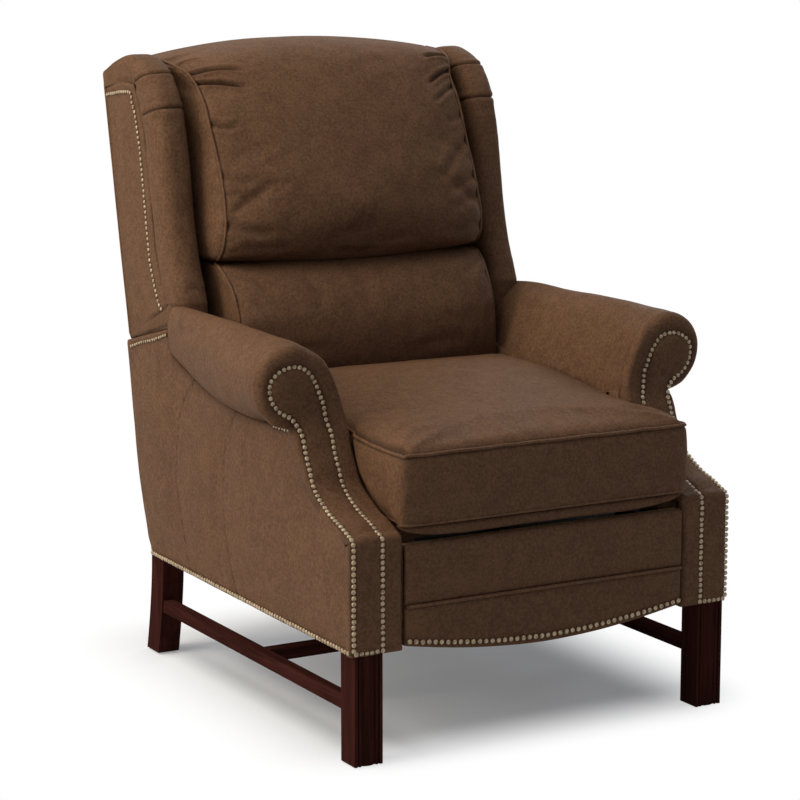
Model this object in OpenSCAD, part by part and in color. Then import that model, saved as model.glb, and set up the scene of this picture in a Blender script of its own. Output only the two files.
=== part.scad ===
// High-leg wing recliner: leather over a hardwood frame, on reeded legs with stretchers.
// The chair faces -Y, +X is on the viewer's right, the floor is z = 0 and left is -X.

/* [Overall] */
// Clear width of the seat between the arms
seat_w = 514; // [460:2:600]
// Width of one arm front at the floor line
arm_w = 89; // [84:1:110]
// Height of the leather's lower edge above the floor
leg_h = 175; // [160:1:220]
// Depth of the base along the leather's lower edge
base_d = 747; // [735:1:800]
// Lean of the back from the vertical in degrees
lean = 12; // [10:0.5:14]
// Height of the rear top edge of the back
back_h = 1004; // [960:1:1060]
// Rise of the headrest's crown above the rear top edge
crown_rise = 56; // [46:1:86]

/* [Arms] */
// Height of the arm front's post above the leather's lower edge
post_h = 182; // [170:1:200]
// Height of the arm's crest above the floor
arm_h = 628; // [610:1:650]
// Set-back of the scroll face behind the post face
scroll_back = 174; // [150:1:200]
// Height from the arm's post to the scroll's neck
neck_rise = 155; // [140:1:170]
// Distance from the rear end of the arm to the base's rear edge
arm_set = 107; // [97:1:147]
// Thickness of the padded arm front
front_pad_t = 12; // [8:1:20]
// Depth of the wooden post behind the arm front
post_t = 40; // [30:1:50]
// Thickness of the leather covered outer panel
panel_t = 10; // [6:1:12]
// Thickness of the plywood side board
board_t = 11.7; // [9:0.1:15]

/* [Legs] */
// Width of a front leg
leg_w = 48; // [40:1:56]
// Depth of a front leg
leg_d = 44; // [38:1:50]
// Inset of a leg from the leather's outer face
leg_inset = 6; // [2:1:10]
// Depth of the grooves between the reeds
reed_depth = 3; // [2:0.5:5]
// Width of one groove
groove_w = 2; // [1:0.5:3]
// Width of the thin beads
bead_w = 5; // [4:0.5:6]
// Width of a rear leg
rear_leg_w = 39; // [34:1:46]
// Depth of a rear leg
rear_leg_d = 48; // [40:1:54]
// How far a rear foot stands behind the base
splay = 27; // [10:1:40]
// Height of the stretchers' lower edge above the floor
stretcher_z = 80; // [50:1:90]
// Height of a stretcher
stretcher_h = 22; // [18:1:36]
// Width of a stretcher
stretcher_w = 20; // [14:1:26]
// Distance from the post face to the middle of the cross stretcher
cross_at = 348; // [250:1:450]
// Thickness of a nylon glide
glide_t = 3; // [2:0.5:5]
// Diameter of a glide
glide_dia = 24; // [18:1:30]
// Diameter of a leg bolt
bolt_dia = 8; // [6:1:10]

/* [Base frame] */
// Height of the side rails
rail_h = 50; // [40:1:54]
// Thickness of the side rails
rail_t = 33; // [25:1:36]
// Height of the rear rail
rear_rail_h = 42; // [30:1:46]
// Thickness of the front cross rail and the rear rail
cross_t = 24; // [18:1:30]
// Distance from the post face to the front cross rail
cross_rail_at = 108; // [106:1:130]
// Thickness of the dust cover
dust_t = 1.5; // [1:0.5:3]
// Thickness of the steel plates
steel_t = 4; // [3:0.5:5]

/* [Back] */
// Height of the back's lower edge above the leather's lower edge
back_gap = 87; // [85:1:100]
// Thickness of the leather covered outside back
back_panel_t = 8; // [6:1:12]
// Depth of the wooden back posts
back_post_d = 45; // [35:1:50]
// Width of the wooden back posts
back_post_w = 36; // [28:1:40]
// Height of the back rails
back_rail_h = 60; // [50:1:70]
// Width of a wing roll
wing_w = 70; // [60:1:76]
// Rise of the wings' crown above the rear top edge
wing_rise = 37; // [26:1:46]
// Drop of the wings' lower end below the arm's crest
wing_drop = 5; // [2:1:5]
// Thickness of the leather on the wing's outside
wing_skin_t = 4; // [3:0.5:5]
// Distance from the recline pivot to the base's rear edge
pivot_set = 57; // [47:1:67]
// Height of the recline pivot
pivot_z = 290; // [285:1:300]
// Diameter of the recline pins
pivot_dia = 12; // [8:1:16]

/* [Seat] */
// Height of the seat frame's top above the floor
seat_frame_z = 360; // [355:1:370]
// Height of the seat frame's side rails
seat_rail_h = 45; // [40:1:55]
// Thickness of the seat frame's rails
seat_rail_t = 25; // [20:1:30]
// Depth of the seat cushion
cushion_d = 548; // [520:1:550]
// Height of the cushion's front boxing between its welts
boxing_h = 109; // [90:1:120]
// Rise of the cushion's crown above its front welt
cushion_crown = 46; // [30:1:60]
// Overhang of the cushion in front of the posts
overhang = 8; // [4:1:20]
// Travel of the seat when the back is fully reclined
seat_travel = 45; // [20:1:60]

/* [Footrest] */
// Length of the swing arms between their pivots
swing_len = 141; // [130:1:141]
// Width of a link
link_w = 18; // [16:1:20]
// Diameter of the link pins
pin_dia = 8; // [6:1:9]
// Distance from the post face to the swing pivot
swing_at = 75; // [72:1:80]
// Distance from the post face to the board pivot
lift_at = 36; // [36:1:44]
// Thickness of the footrest's wooden board
footrest_t = 15; // [12:1:18]
// Thickness of the footrest's padding
footrest_pad_t = 13; // [8:1:14]
// How far the footrest's lower edge bows down in its middle
bow = 24; // [10:1:30]
// Height of the footrest's welt above its lower corners
welt_up = 66; // [50:1:90]

/* [Hidden] */
SIDES = ["left", "right"];
$fn = 48;

// Clearances and the overrun of every cut
overrun = 2;
touch_gap = 0.3;
soft_gap = 3;
pin_gap = 0.05;
side_gap = 1.5;

// Colours
leather = [0.36, 0.26, 0.19];
leather_dark = [0.30, 0.21, 0.15];
mahogany = [0.22, 0.09, 0.07];
timber = [0.76, 0.62, 0.42];
ply = [0.82, 0.70, 0.50];
steel = [0.45, 0.46, 0.48];
webbing = [0.25, 0.25, 0.27];
cloth_black = [0.08, 0.08, 0.09];
nylon = [0.20, 0.20, 0.20];

// Places across the chair
in_x = seat_w / 2;
out_x = in_x + arm_w;
panel_x = out_x - panel_t;
board_x = panel_x - touch_gap - board_t;
plate_x = board_x - touch_gap - steel_t;
bracket_x = plate_x - side_gap - steel_t;
back_post_x = bracket_x - back_post_w;
wing_out = out_x + 1;
wing_in = wing_out - wing_w;
track_x = board_x - touch_gap - rail_t;

// Places along the chair: every distance is measured back from the face of the front posts
rear_slope = tan(lean);
function rear_at(z) = base_d + (z - leg_h) * rear_slope;
overall_d = overhang + rear_at(back_h);
overall_h = back_h + crown_rise;
arm_len = base_d - arm_set;
pivot_at = base_d - pivot_set;
post_face = overhang - overall_d / 2;
function along(d) = post_face + d;

// Heights
post_top = leg_h + post_h;
neck_z = post_top + neck_rise;
back_low = leg_h + back_gap;
wing_top = back_h + wing_rise;
wing_low = arm_h - wing_drop;
rail_z = leg_h + 2 * dust_t;
strap_t = 1.5;
deck_t = 3;
deck_z = seat_frame_z + 2 * strap_t;
cushion_z = deck_z + deck_t;
// Rise of the cushion's upper welt from its front corners to its rear
cushion_rise = 26;

// General shapes

function mix(a, b, t) = a + (b - a) * t;
function clamp01(t) = min(1, max(0, t));
function back_to_front(list) = [for (i = [len(list) - 1:-1:0]) list[i]];
function middle(ring) = [for (k = [0:2]) [for (p = ring) p[k]] * [for (p = ring) 1 / len(ring)]];

// Curve through a list of points, with steps pieces between each two
function curve_point(a, b, c, d, t) =
  0.5 * ((2 * b) + (c - a) * t + (2 * a - 5 * b + 4 * c - d) * t * t + (3 * b - a - 3 * c + d) * t * t * t);
function curve(pts, steps) = concat(
  [for (i = [0:len(pts) - 2]) for (s = [0:steps - 1])
    curve_point(pts[max(0, i - 1)], pts[i], pts[i + 1], pts[min(len(pts) - 1, i + 2)], s / steps)],
  [pts[len(pts) - 1]]);

// A line moved into the material by t, which lies on the right of its direction; points that would cross
// back over it are left out
keep_share = 0.99;
keep_slack = 0.01;
function heading(line, i) = let (v = line[min(len(line) - 1, i + 1)] - line[max(0, i - 1)]) v / norm(v);
function gap_to(p, a, b) = norm(p - mix(a, b, clamp01((p - a) * (b - a) / ((b - a) * (b - a)))));
function nearest(p, line) = min([for (i = [0:len(line) - 2]) gap_to(p, line[i], line[i + 1])]);
function inset(line, t) = [for (i = [0:len(line) - 1])
  let (h = heading(line, i), p = line[i] + t * [h[1], -h[0]])
  if (nearest(p, line) > t * keep_share - keep_slack) p];
function band(line, t_out, t_in) = concat(inset(line, t_out), back_to_front(inset(line, t_in)));

// An outline in (y, z) drawn across the chair, and one in (x, z) drawn along it
module across(x0, x1) translate([x0, 0, 0]) rotate([90, 0, 90]) linear_extrude(x1 - x0) children();
module endways(y0, y1) translate([0, y1, 0]) rotate([90, 0, 0]) linear_extrude(y1 - y0) children();
module box(low, high) translate(low) cube(high - low);
module rod(x0, x1, dia, d, z) translate([x0, along(d), z]) rotate([0, 90, 0]) cylinder(h = x1 - x0, d = dia);
module on_side(side) mirror([side == "left" ? 1 : 0, 0, 0]) children();
module both_sides() for (side = SIDES) on_side(side) children();
function chair_line(pts) = [for (p = pts) [along(p[0]), p[1]]];

// Corner arcs and straight sides of a rounded rectangle
function rounded(hx, hy, r, arc, side) = [for (q = [0:3])
  let (sx = q == 0 || q == 3 ? 1 : -1, sy = q < 2 ? 1 : -1)
  each concat([for (i = [0:arc]) let (a = 90 * q + 90 * i / arc)
      [sx * (hx - r) + r * cos(a), sy * (hy - r) + r * sin(a)]],
    [for (i = [1:side]) let (w = ((sx * sy > 0 ? hx : hy) - r) * (1 - 2 * i / (side + 1)))
      q == 0 ? [w, hy] : q == 1 ? [-hx, w] : q == 2 ? [-w, -hy] : [hx, -w]])];

// A closed skin over rings of points that run anticlockwise as seen from the last ring; the ends are fans
// round two middles, each inside its ring
module loft(rings, middles = []) {
  n = len(rings[0]);
  m = len(rings);
  ends = len(middles) == 2 ? middles : [middle(rings[0]), middle(rings[m - 1])];
  points = concat([for (r = rings) each r], ends);
  walls = [for (i = [0:m - 2]) for (j = [0:n - 1])
    let (a = i * n + j, b = i * n + (j + 1) % n) each [[a, b + n, b], [a, a + n, b + n]]];
  first_cap = [for (j = [0:n - 1]) [n * m, j, (j + 1) % n]];
  last_cap = [for (j = [0:n - 1]) [n * m + 1, n * (m - 1) + (j + 1) % n, n * (m - 1) + j]];
  polyhedron(points = points, faces = concat(walls, first_cap, last_cap), convexity = 6);
}

// Legs and stretchers

module leg_section() {
  edge_w = bead_w;
  band_w = leg_w - 2 * (edge_w + bead_w) - 4 * groove_w;
  band_r = band_w;
  translate([-leg_w / 2, reed_depth]) square([leg_w, leg_d - reed_depth]);
  for (s = [-1, 1]) {
    translate([s * (leg_w - edge_w) / 2 - edge_w / 2, 0]) square([edge_w, reed_depth + groove_w]);
    translate([s * (band_w / 2 + groove_w + bead_w / 2), bead_w / 2]) circle(d = bead_w);
    translate([s * (band_w / 2 + groove_w + bead_w / 2) - bead_w / 2, bead_w / 2])
      square([bead_w, reed_depth]);
  }
  intersection() {
    translate([0, band_r]) circle(r = band_r, $fn = 96);
    translate([-band_w / 2, 0]) square([band_w, reed_depth + bead_w]);
  }
}

front_leg_x = out_x - leg_inset - leg_w / 2;
rear_leg_x = out_x - leg_inset - rear_leg_w / 2 - bead_w;
bolt_len = 60;
bolt_depth = 34;

module front_leg(side) color(mahogany) on_side(side) difference() {
  translate([front_leg_x, along(0), glide_t]) linear_extrude(leg_h - glide_t) leg_section();
  translate([front_leg_x, along(leg_d / 2), leg_h - bolt_depth])
    cylinder(h = bolt_depth + overrun, d = bolt_dia + 2 * pin_gap);
}

// The rear legs sweep back towards the floor
rear_top_d = base_d + 1 - rear_leg_d;
sweep_power = 1.6;
function sweep_at(z) = splay * pow(1 - clamp01(z / leg_h), sweep_power);
leg_steps = 12;
leg_zs = concat([glide_t, stretcher_z, stretcher_z + stretcher_h],
  [for (i = [1:leg_steps]) let (z = leg_h * i / leg_steps)
    if (z < stretcher_z || z > stretcher_z + stretcher_h) z]);
function sorted(v) = len(v) < 2 ? v : let (m = min(v)) concat([m], sorted([for (x = v) if (x > m) x]));
rear_zs = [for (z = sorted(leg_zs)) if (z >= glide_t) z];

module rear_leg(side) color(mahogany) on_side(side) difference() {
  across(rear_leg_x - rear_leg_w / 2, rear_leg_x + rear_leg_w / 2)
    polygon(chair_line(concat(
      [for (z = rear_zs) [rear_top_d + sweep_at(z), z]],
      [for (z = back_to_front(rear_zs)) [rear_top_d + rear_leg_d + sweep_at(z), z]])));
  translate([rear_leg_x, along(rear_top_d + rear_leg_d / 2), leg_h - bolt_depth])
    cylinder(h = bolt_depth + overrun, d = bolt_dia + 2 * pin_gap);
}

module leg_glides() color(nylon) both_sides() {
  translate([front_leg_x, along(leg_d / 2), 0]) cylinder(h = glide_t, d = glide_dia);
  translate([rear_leg_x, along(rear_top_d + rear_leg_d / 2 + sweep_at(glide_t)), 0])
    cylinder(h = glide_t, d = glide_dia);
}

module leg_bolts() color(steel) both_sides() {
  for (p = [[front_leg_x, leg_d / 2], [rear_leg_x, rear_top_d + rear_leg_d / 2]])
    translate([p[0], along(p[1]), leg_h - bolt_depth]) cylinder(h = bolt_len, d = bolt_dia);
}

stretcher_x = front_leg_x + leg_w / 4 - stretcher_w / 2;

module side_stretcher(side) color(mahogany) on_side(side)
  across(stretcher_x - stretcher_w / 4, stretcher_x + stretcher_w * 3 / 4) polygon(chair_line([
    [leg_d, stretcher_z],
    [rear_top_d + sweep_at(stretcher_z), stretcher_z],
    [rear_top_d + sweep_at(stretcher_z + stretcher_h), stretcher_z + stretcher_h],
    [leg_d, stretcher_z + stretcher_h]]));

module cross_stretcher() color(mahogany)
  box([-stretcher_x + stretcher_w / 4, along(cross_at - stretcher_w / 2), stretcher_z],
    [stretcher_x - stretcher_w / 4, along(cross_at + stretcher_w / 2), stretcher_z + stretcher_h]);

// Arm fronts: a side view line runs up the post, along the swan neck and up the scroll face

swan_shares = [[0.05, 0.015], [0.2, 0.085], [0.36, 0.14], [0.47, 0.195], [0.59, 0.265], [0.69, 0.335],
  [0.755, 0.41], [0.81, 0.515], [0.89, 0.67], [0.94, 0.81], [0.98, 0.93], [1, 1.06]];
corner_r = 6;
swan_line = [for (s = swan_shares) [s[0] * scroll_back, post_top + s[1] * neck_rise]];
front_line = concat([[0, leg_h], [0, post_top - corner_r], [corner_r / 5, post_top - corner_r / 4]],
  curve(swan_line, 2), [[scroll_back, arm_h + panel_t]]);

// Front view of the arm front as shares of its width and of the height from post top to crest
scroll_shares = [[1.09, 0.525], [1.225, 0.532], [1.415, 0.553], [1.595, 0.6], [1.72, 0.665],
  [1.775, 0.75], [1.755, 0.83], [1.64, 0.905], [1.44, 0.963], [1.18, 0.996], [0.933, 0.998],
  [0.708, 0.967], [0.483, 0.908], [0.35, 0.845], [0.236, 0.77], [0.124, 0.668], [0.045, 0.572],
  [0, 0.455]];
neck_shares = [[1, 0], [1.01, 0.31], [1.045, 0.455]];
function arm_point(s) = [in_x + s[0] * arm_w, post_top + s[1] * (arm_h - post_top)];
scroll_line = curve([for (s = scroll_shares) arm_point(s)], 2);
arm_outline = concat([[in_x, leg_h], [out_x, leg_h]], [for (s = neck_shares) arm_point(s)],
  scroll_line);

module arm_front(side) color(leather) on_side(side) intersection() {
  across(in_x - overrun, out_x + arm_w) polygon(chair_line(band(front_line, 0, front_pad_t)));
  endways(along(-overrun), along(scroll_back + front_pad_t + overrun)) polygon(arm_outline);
}

post_in = in_x + front_pad_t / 2;
stump_top = neck_z + neck_rise / 3;

module front_post(side) color(timber) on_side(side) difference() {
  intersection() {
    across(post_in, board_x - touch_gap)
      polygon(chair_line(band(front_line, front_pad_t + touch_gap, front_pad_t + post_t)));
    box([in_x, along(0), leg_h], [out_x, along(scroll_back + front_pad_t), stump_top]);
  }
  translate([front_leg_x, along(leg_d / 2), leg_h - overrun])
    cylinder(h = bolt_len - bolt_depth + overrun, d = bolt_dia + 2 * pin_gap);
}

// Arm pads: the scroll runs back as a tapering roll over the inner lining
pad_front = scroll_back + front_pad_t + touch_gap;
pad_low = seat_frame_z - seat_rail_h / 3;
crease_drop = 23;
crease_z = neck_z - crease_drop;
crease_dip_share = 0.33;
crease_rise = 56;
crease_lift = 8;
crease_power = 1.8;
function crease(t) = crease_z
  + crease_rise * pow(clamp01((t - crease_dip_share) / (1 - crease_dip_share)), crease_power)
  + crease_lift * pow(clamp01(1 - t / crease_dip_share), 2);
roll_narrow_share = 0.74;
roll_lift_share = 0.42;
roll_start_share = 0.7;
function roll_weight(x) = clamp01(((x - in_x) / arm_w - roll_start_share) / (1 - roll_start_share));
function roll_point(p, t) = let (w = roll_weight(p[0]) * t) [
  p[0] - w * roll_narrow_share * (p[0] - board_x), p[1] + w * roll_lift_share * (arm_h - p[1])];
function pad_ring(t) = let (d = mix(pad_front, arm_len, t), z = crease(t) + touch_gap) [
  for (p = concat([[in_x, pad_low], [board_x - touch_gap, pad_low], [board_x - touch_gap, z],
      [out_x, z]], [for (q = scroll_line) let (r = roll_point(q, t)) [r[0], max(r[1], z)]]))
    [p[0], along(d), p[1]]];
pad_steps = 10;

pad_mid_share = 0.15;
function pad_middle(t) = [(in_x + board_x) / 2, along(mix(pad_front, arm_len, t)),
  mix(crease(t), arm_h, pad_mid_share)];

module arm_pad(side) color(leather) on_side(side)
  loft([for (i = [pad_steps:-1:0]) pad_ring(i / pad_steps)], [pad_middle(1), pad_middle(0)]);

// Outer arm panels reach back to the rear and stop under the roll and under the wing
break_drop = 41;
break_front_z = arm_h - break_drop;
break_slope = 0.245;
function break_z(d) = break_front_z - (d - arm_len) * break_slope;
// Where the break line, moved up by lift, meets a line that leans with the back and crosses z = 0 at line0
function meet(line0, lift) = let (z = (break_z(line0) + lift) / (1 + rear_slope * break_slope))
  [line0 + z * rear_slope, z];
board_drop = 30;
crease_line = [for (i = [pad_steps:-1:0]) [mix(pad_front, arm_len, i / pad_steps), crease(i / pad_steps)]];

function side_outline(front_t, drop, low) = concat(
  [[rear_at(low), low], meet(rear_at(0), -drop),
    [arm_len + front_pad_t, break_z(arm_len + front_pad_t) - drop]],
  [for (p = crease_line) [p[0], p[1] - (p[0] > arm_len - 1 ? drop : drop / 3)]],
  back_to_front([for (p = inset(front_line, front_t)) if (p[1] < crease(0) - drop / 3 && p[1] > low) p]),
  [[front_t, low]]);

module outer_panel(side) color(leather) on_side(side)
  across(panel_x, out_x) polygon(chair_line(side_outline(front_pad_t + touch_gap, 0, leg_h)));

module side_board(side) color(ply) on_side(side)
  across(board_x, panel_x - touch_gap)
    polygon(chair_line(side_outline(front_pad_t + touch_gap, board_drop, rail_z)));

// Base rails

rail_front = front_pad_t + post_t + touch_gap;
rail_rear = base_d - panel_t;

module side_rail(side) color(timber) on_side(side) difference() {
  box([track_x, along(rail_front), rail_z], [board_x - touch_gap, along(rail_rear), rail_z + rail_h]);
  translate([rear_leg_x, along(rear_top_d + rear_leg_d / 2), leg_h])
    cylinder(h = bolt_len, d = bolt_dia + 2 * pin_gap);
}

module front_cross_rail() color(timber)
  box([-track_x, along(cross_rail_at), rail_z],
    [track_x, along(cross_rail_at + cross_t), rail_z + rail_h * 3 / 4]);

module rear_rail() color(timber)
  box([-track_x, along(rail_rear - cross_t), rail_z], [track_x, along(rail_rear), rail_z + rear_rail_h]);

module rear_skirt() color(leather) across(-board_x + touch_gap, board_x - touch_gap)
  polygon(chair_line([[rail_rear + touch_gap, leg_h], [rear_at(leg_h), leg_h],
    [rear_at(rail_z + rear_rail_h), rail_z + rear_rail_h], [rail_rear + touch_gap, rail_z + rear_rail_h]]));

module dust_cover() color(cloth_black)
  box([-track_x, along(cross_rail_at), leg_h], [track_x, along(rail_rear), leg_h + dust_t]);

// Seat track on the base and runner on the seat
track_drop = 72;
flange_z = seat_frame_z - seat_rail_h - track_drop;
flange_t = 3;
runner_gap = 7;
runner_x = in_x - runner_gap;
track_reach = 25;
track_front = cross_rail_at + cross_t + overrun;
track_rear = arm_len - cross_t;
runner_front = track_front + seat_travel + overrun;
runner_rear = cushion_d - cross_t;

module seat_track(side) color(steel) on_side(side) union() {
  box([track_x - flange_t, along(track_front), rail_z + flange_t], [track_x, along(track_rear), flange_z]);
  box([track_x - track_reach, along(track_front), flange_z - flange_t],
    [track_x, along(track_rear), flange_z]);
}

module seat_runner(side) color(steel) on_side(side) {
  low = flange_z + touch_gap;
  union() {
    box([runner_x, along(runner_front), low],
      [runner_x + flange_t, along(runner_rear), seat_frame_z - flange_t]);
    box([runner_x, along(runner_front), low],
      [track_x - flange_t - overrun, along(runner_rear), low + flange_t]);
  }
}

// Recline pivots

pivot_boss_r = pivot_dia * 1.6;

module pivot_plate(side) color(steel) on_side(side) difference() {
  across(plate_x, plate_x + steel_t) polygon(chair_line([
    [pivot_at - 3 * pivot_boss_r, rail_z + rail_h], [pivot_at + 2 * pivot_boss_r, rail_z + rail_h],
    [pivot_at + pivot_boss_r, pivot_z + pivot_boss_r], [pivot_at - pivot_boss_r, pivot_z + pivot_boss_r]]));
  rod(plate_x - overrun, plate_x + steel_t + overrun, pivot_dia + 2 * pin_gap, pivot_at, pivot_z);
}

pin_head_t = 3;

module recline_pins() color(steel) both_sides() {
  rod(bracket_x - pin_head_t, plate_x + steel_t, pivot_dia, pivot_at, pivot_z);
  rod(bracket_x - 2 * pin_head_t, bracket_x - pin_head_t, pivot_dia * 1.5, pivot_at, pivot_z);
}

bracket_top = pivot_z + 2 * pivot_boss_r;
bracket_rear = rear_at(bracket_top) - 2 * back_panel_t;

module back_bracket(side) color(steel) on_side(side) difference() {
  across(bracket_x + touch_gap / 2, bracket_x + steel_t) polygon(chair_line(concat(
    [[bracket_rear - back_post_d * 3 / 4, bracket_top], [bracket_rear, bracket_top],
      [rear_at(pivot_z) - 2 * back_panel_t, pivot_z - pivot_boss_r / 2]],
    [for (a = [280:-20:100]) [pivot_at + pivot_boss_r * cos(a), pivot_z + pivot_boss_r * sin(a)]])));
  rod(bracket_x - overrun, bracket_x + steel_t + overrun, pivot_dia + 2 * pin_gap, pivot_at, pivot_z);
}

// Back frame: leaning posts and rails

back_len = (back_h - back_low) / cos(lean);

// Draws in the plane of the back: x across, y from its rear face forward (negative), z up its length
module leaning() translate([0, along(rear_at(back_low)), back_low]) rotate([-lean, 0, 0]) children();

post_y0 = -back_panel_t - touch_gap - back_post_d;
post_y1 = -back_panel_t - touch_gap;
post_up = 20;
// The frame's top lies under the crown of the headrest
frame_top_share = 0.88;
pillow_split = 66;
head_low = arm_h + pillow_split;
head_h = back_h - head_low;
frame_top = head_low + frame_top_share * head_h;
frame_up = (frame_top - overrun - back_low) / cos(lean) - back_post_d * rear_slope;

module back_post(side) color(timber) on_side(side) leaning()
  box([back_post_x, post_y0, post_up], [bracket_x, post_y1, frame_up]);

middle_rail_share = 0.42;
rail_ups = [post_up, back_len * middle_rail_share, frame_up - back_rail_h];

module back_rails() color(timber) leaning() for (up = rail_ups)
  box([-back_post_x, post_y0 + back_post_d / 4, up], [back_post_x, post_y1, up + back_rail_h]);

strap_w = 50;
back_straps = 7;

module back_webbing() color(webbing) leaning() for (i = [0:back_straps - 1]) {
  low = mix(rail_ups[0] + back_rail_h, rail_ups[2] - strap_w, (i + 0.5) / back_straps);
  box([-back_post_x - back_post_w / 2, post_y0 - strap_t, low],
    [back_post_x + back_post_w / 2, post_y0, low + strap_w]);
}

low_half = bracket_x + steel_t - side_gap;
shoulder_inset = 4;
high_half = panel_x - shoulder_inset;
shoulder_rise = 25;
shoulder_z = break_z(rear_at(arm_h)) + shoulder_rise;
shoulder_up = (shoulder_z - back_low) / cos(lean);

module outside_back() color(leather) leaning() endways(-back_panel_t, 0) polygon([
  [-low_half, 0], [low_half, 0], [low_half, shoulder_up], [high_half, shoulder_up],
  [high_half, back_len], [-high_half, back_len], [-high_half, shoulder_up], [-low_half, shoulder_up]]);

// Wings: front line and nail line of the roll, as shares of its depth and height
wing_shares = [
  [[0.01, 0.024], [0.305, 0.0]], [[0.035, 0.07], [0.335, 0.04]], [[0.10, 0.19], [0.41, 0.165]],
  [[0.155, 0.33], [0.45, 0.315]], [[0.19, 0.475], [0.485, 0.465]], [[0.222, 0.62], [0.52, 0.61]],
  [[0.265, 0.748], [0.555, 0.70]], [[0.33, 0.855], [0.59, 0.774]], [[0.44, 0.938], [0.63, 0.814]],
  [[0.575, 0.984], [0.68, 0.84]], [[0.705, 1.0], [0.755, 0.843]], [[0.86, 0.963], [0.86, 0.836]],
  [[0.995, 0.91], [0.96, 0.828]]];
wing_lap = 32;
wing_front = arm_len - wing_lap;
wing_deep = rear_at(back_h) - back_panel_t - wing_front;
function wing_place(s) = [wing_front + s[0] * wing_deep, wing_low + s[1] * (wing_top - wing_low)];
wing_f = curve([for (s = wing_shares) wing_place(s[0])], 2);
wing_n = curve([for (s = wing_shares) wing_place(s[1])], 2);
ring_sides = 22;
ring_power = 0.72;
function bent(v) = sign(v) * pow(abs(v), ring_power);
wing_taper = 13;
taper_power = 3;
skin_clear_share = 0.02;
function wing_ring(f, n, t) = let (c = (f + n) / 2, h = (f - n) / 2,
    w = wing_w - wing_taper * pow(t, taper_power), mid_x = wing_in + w / 2) [
  for (i = [0:ring_sides - 1]) let (a = 360 * i / ring_sides, s = -bent(sin(a)))
    [mid_x + w / 2 * bent(cos(a)), along(c[0] + h[0] * s), c[1] + h[1] * s]];

module wing_roll(side) color(leather) on_side(side)
  loft([for (i = [0:len(wing_f) - 1])
    wing_ring(wing_f[i], mix(wing_n[i], wing_f[i], skin_clear_share), i / (len(wing_f) - 1))]);

wing_cut = 3;
wing_board_x = bracket_x + touch_gap;
wing_skin_inset = 15;
wing_skin_x = wing_out - wing_skin_inset;
rear_top_line = rear_at(0) - back_panel_t - touch_gap;
function behind(z) = rear_top_line + z * rear_slope;
wing_toe = arm_len + soft_gap;
function wing_outline(lift) = let (n = wing_n, last = n[len(n) - 1])
  concat([[wing_toe, n[0][1] - touch_gap], [wing_toe, break_z(wing_toe) + lift], meet(rear_top_line, lift),
      [behind(last[1]), last[1] - touch_gap]],
    back_to_front([for (i = [0:len(n) - 1]) if (n[i][0] < behind(last[1]) - overrun)
      n[i] + [touch_gap, -touch_gap]]));

module wing_skin(side) color(leather) on_side(side)
  across(wing_skin_x, wing_skin_x + wing_skin_t) polygon(chair_line(wing_outline(wing_cut)));

module wing_board(side) color(ply) on_side(side)
  across(wing_board_x, wing_skin_x - touch_gap) polygon(chair_line(wing_outline(4 * wing_cut)));

// Pillows: rings from bottom to top, each with its front seam, rear face, half width and crown
pillow_sides = 36;
side_power = 0.55;
face_power = 0.5;
seam_pull_share = 0.07;
function pillow_ring(z, front, rear, half, crown, arch) = [for (i = [0:pillow_sides - 1])
  let (a = 360 * (i + 0.5) / pillow_sides, u = sign(cos(a)) * pow(abs(cos(a)), side_power),
    v = sign(sin(a)) * pow(abs(sin(a)), face_power), c = 1 - u * u,
    mid_d = (front + rear) / 2, deep = (rear - front) / 2)
    [u * half * (1 - seam_pull_share * pow(max(0, -v), 2)),
      along(mid_d + v * deep + min(v, 0) * crown * c), z + arch * c]];
function frame_front(z) = rear_at(z) - (strap_t + touch_gap - post_y0) / cos(lean);

wing_gap = 8;
pillow_half = wing_in - wing_gap;
// Height share, distance of the seam in front of the back frame, width share, crown, arch
head_shares = [[0.0, 0.5, 0.93, 0.1, 0.1], [0.008, 0.8, 0.975, 0.3, 0.1], [0.035, 0.985, 1.0, 0.6, 0.0],
  [0.12, 1.05, 1.0, 1.0, 0.0], [0.23, 1.06, 1.0, 1.15, 0.0], [0.36, 1.02, 1.0, 1.1, 0.0],
  [0.5, 0.965, 0.995, 1.0, 0.0], [0.64, 0.93, 0.99, 0.95, 0.0], [0.77, 0.885, 0.99, 0.9, 0.05],
  [0.88, 0.81, 0.99, 0.8, 0.2], [0.895, 0.795, 0.99, 0.78, 0.23], [0.96, 0.70, 0.985, 0.65, 0.5],
  [1.02, 0.52, 0.97, 0.4, 0.8], [1.06, 0.3, 0.93, 0.2, 0.96], [1.085, 0.12, 0.85, 0.1, 1.0]];
head_deep = 205;
head_crown = 32;
head_top_share = 0.085;
head_arch = overall_h - back_h - head_top_share * head_h;

module headrest_pillow() color(leather) loft([for (s = head_shares) let (z = head_low + s[0] * head_h)
  pillow_ring(z, frame_front(min(z, back_h)) - s[1] * head_deep,
    s[0] > frame_top_share ? behind(min(z, back_h)) : frame_front(z), s[2] * pillow_half, s[3] * head_crown,
    s[4] * head_arch)]);

lumbar_rise = 75;
lumbar_low = seat_frame_z + lumbar_rise;
lumbar_h = head_low - soft_gap - lumbar_low;
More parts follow.
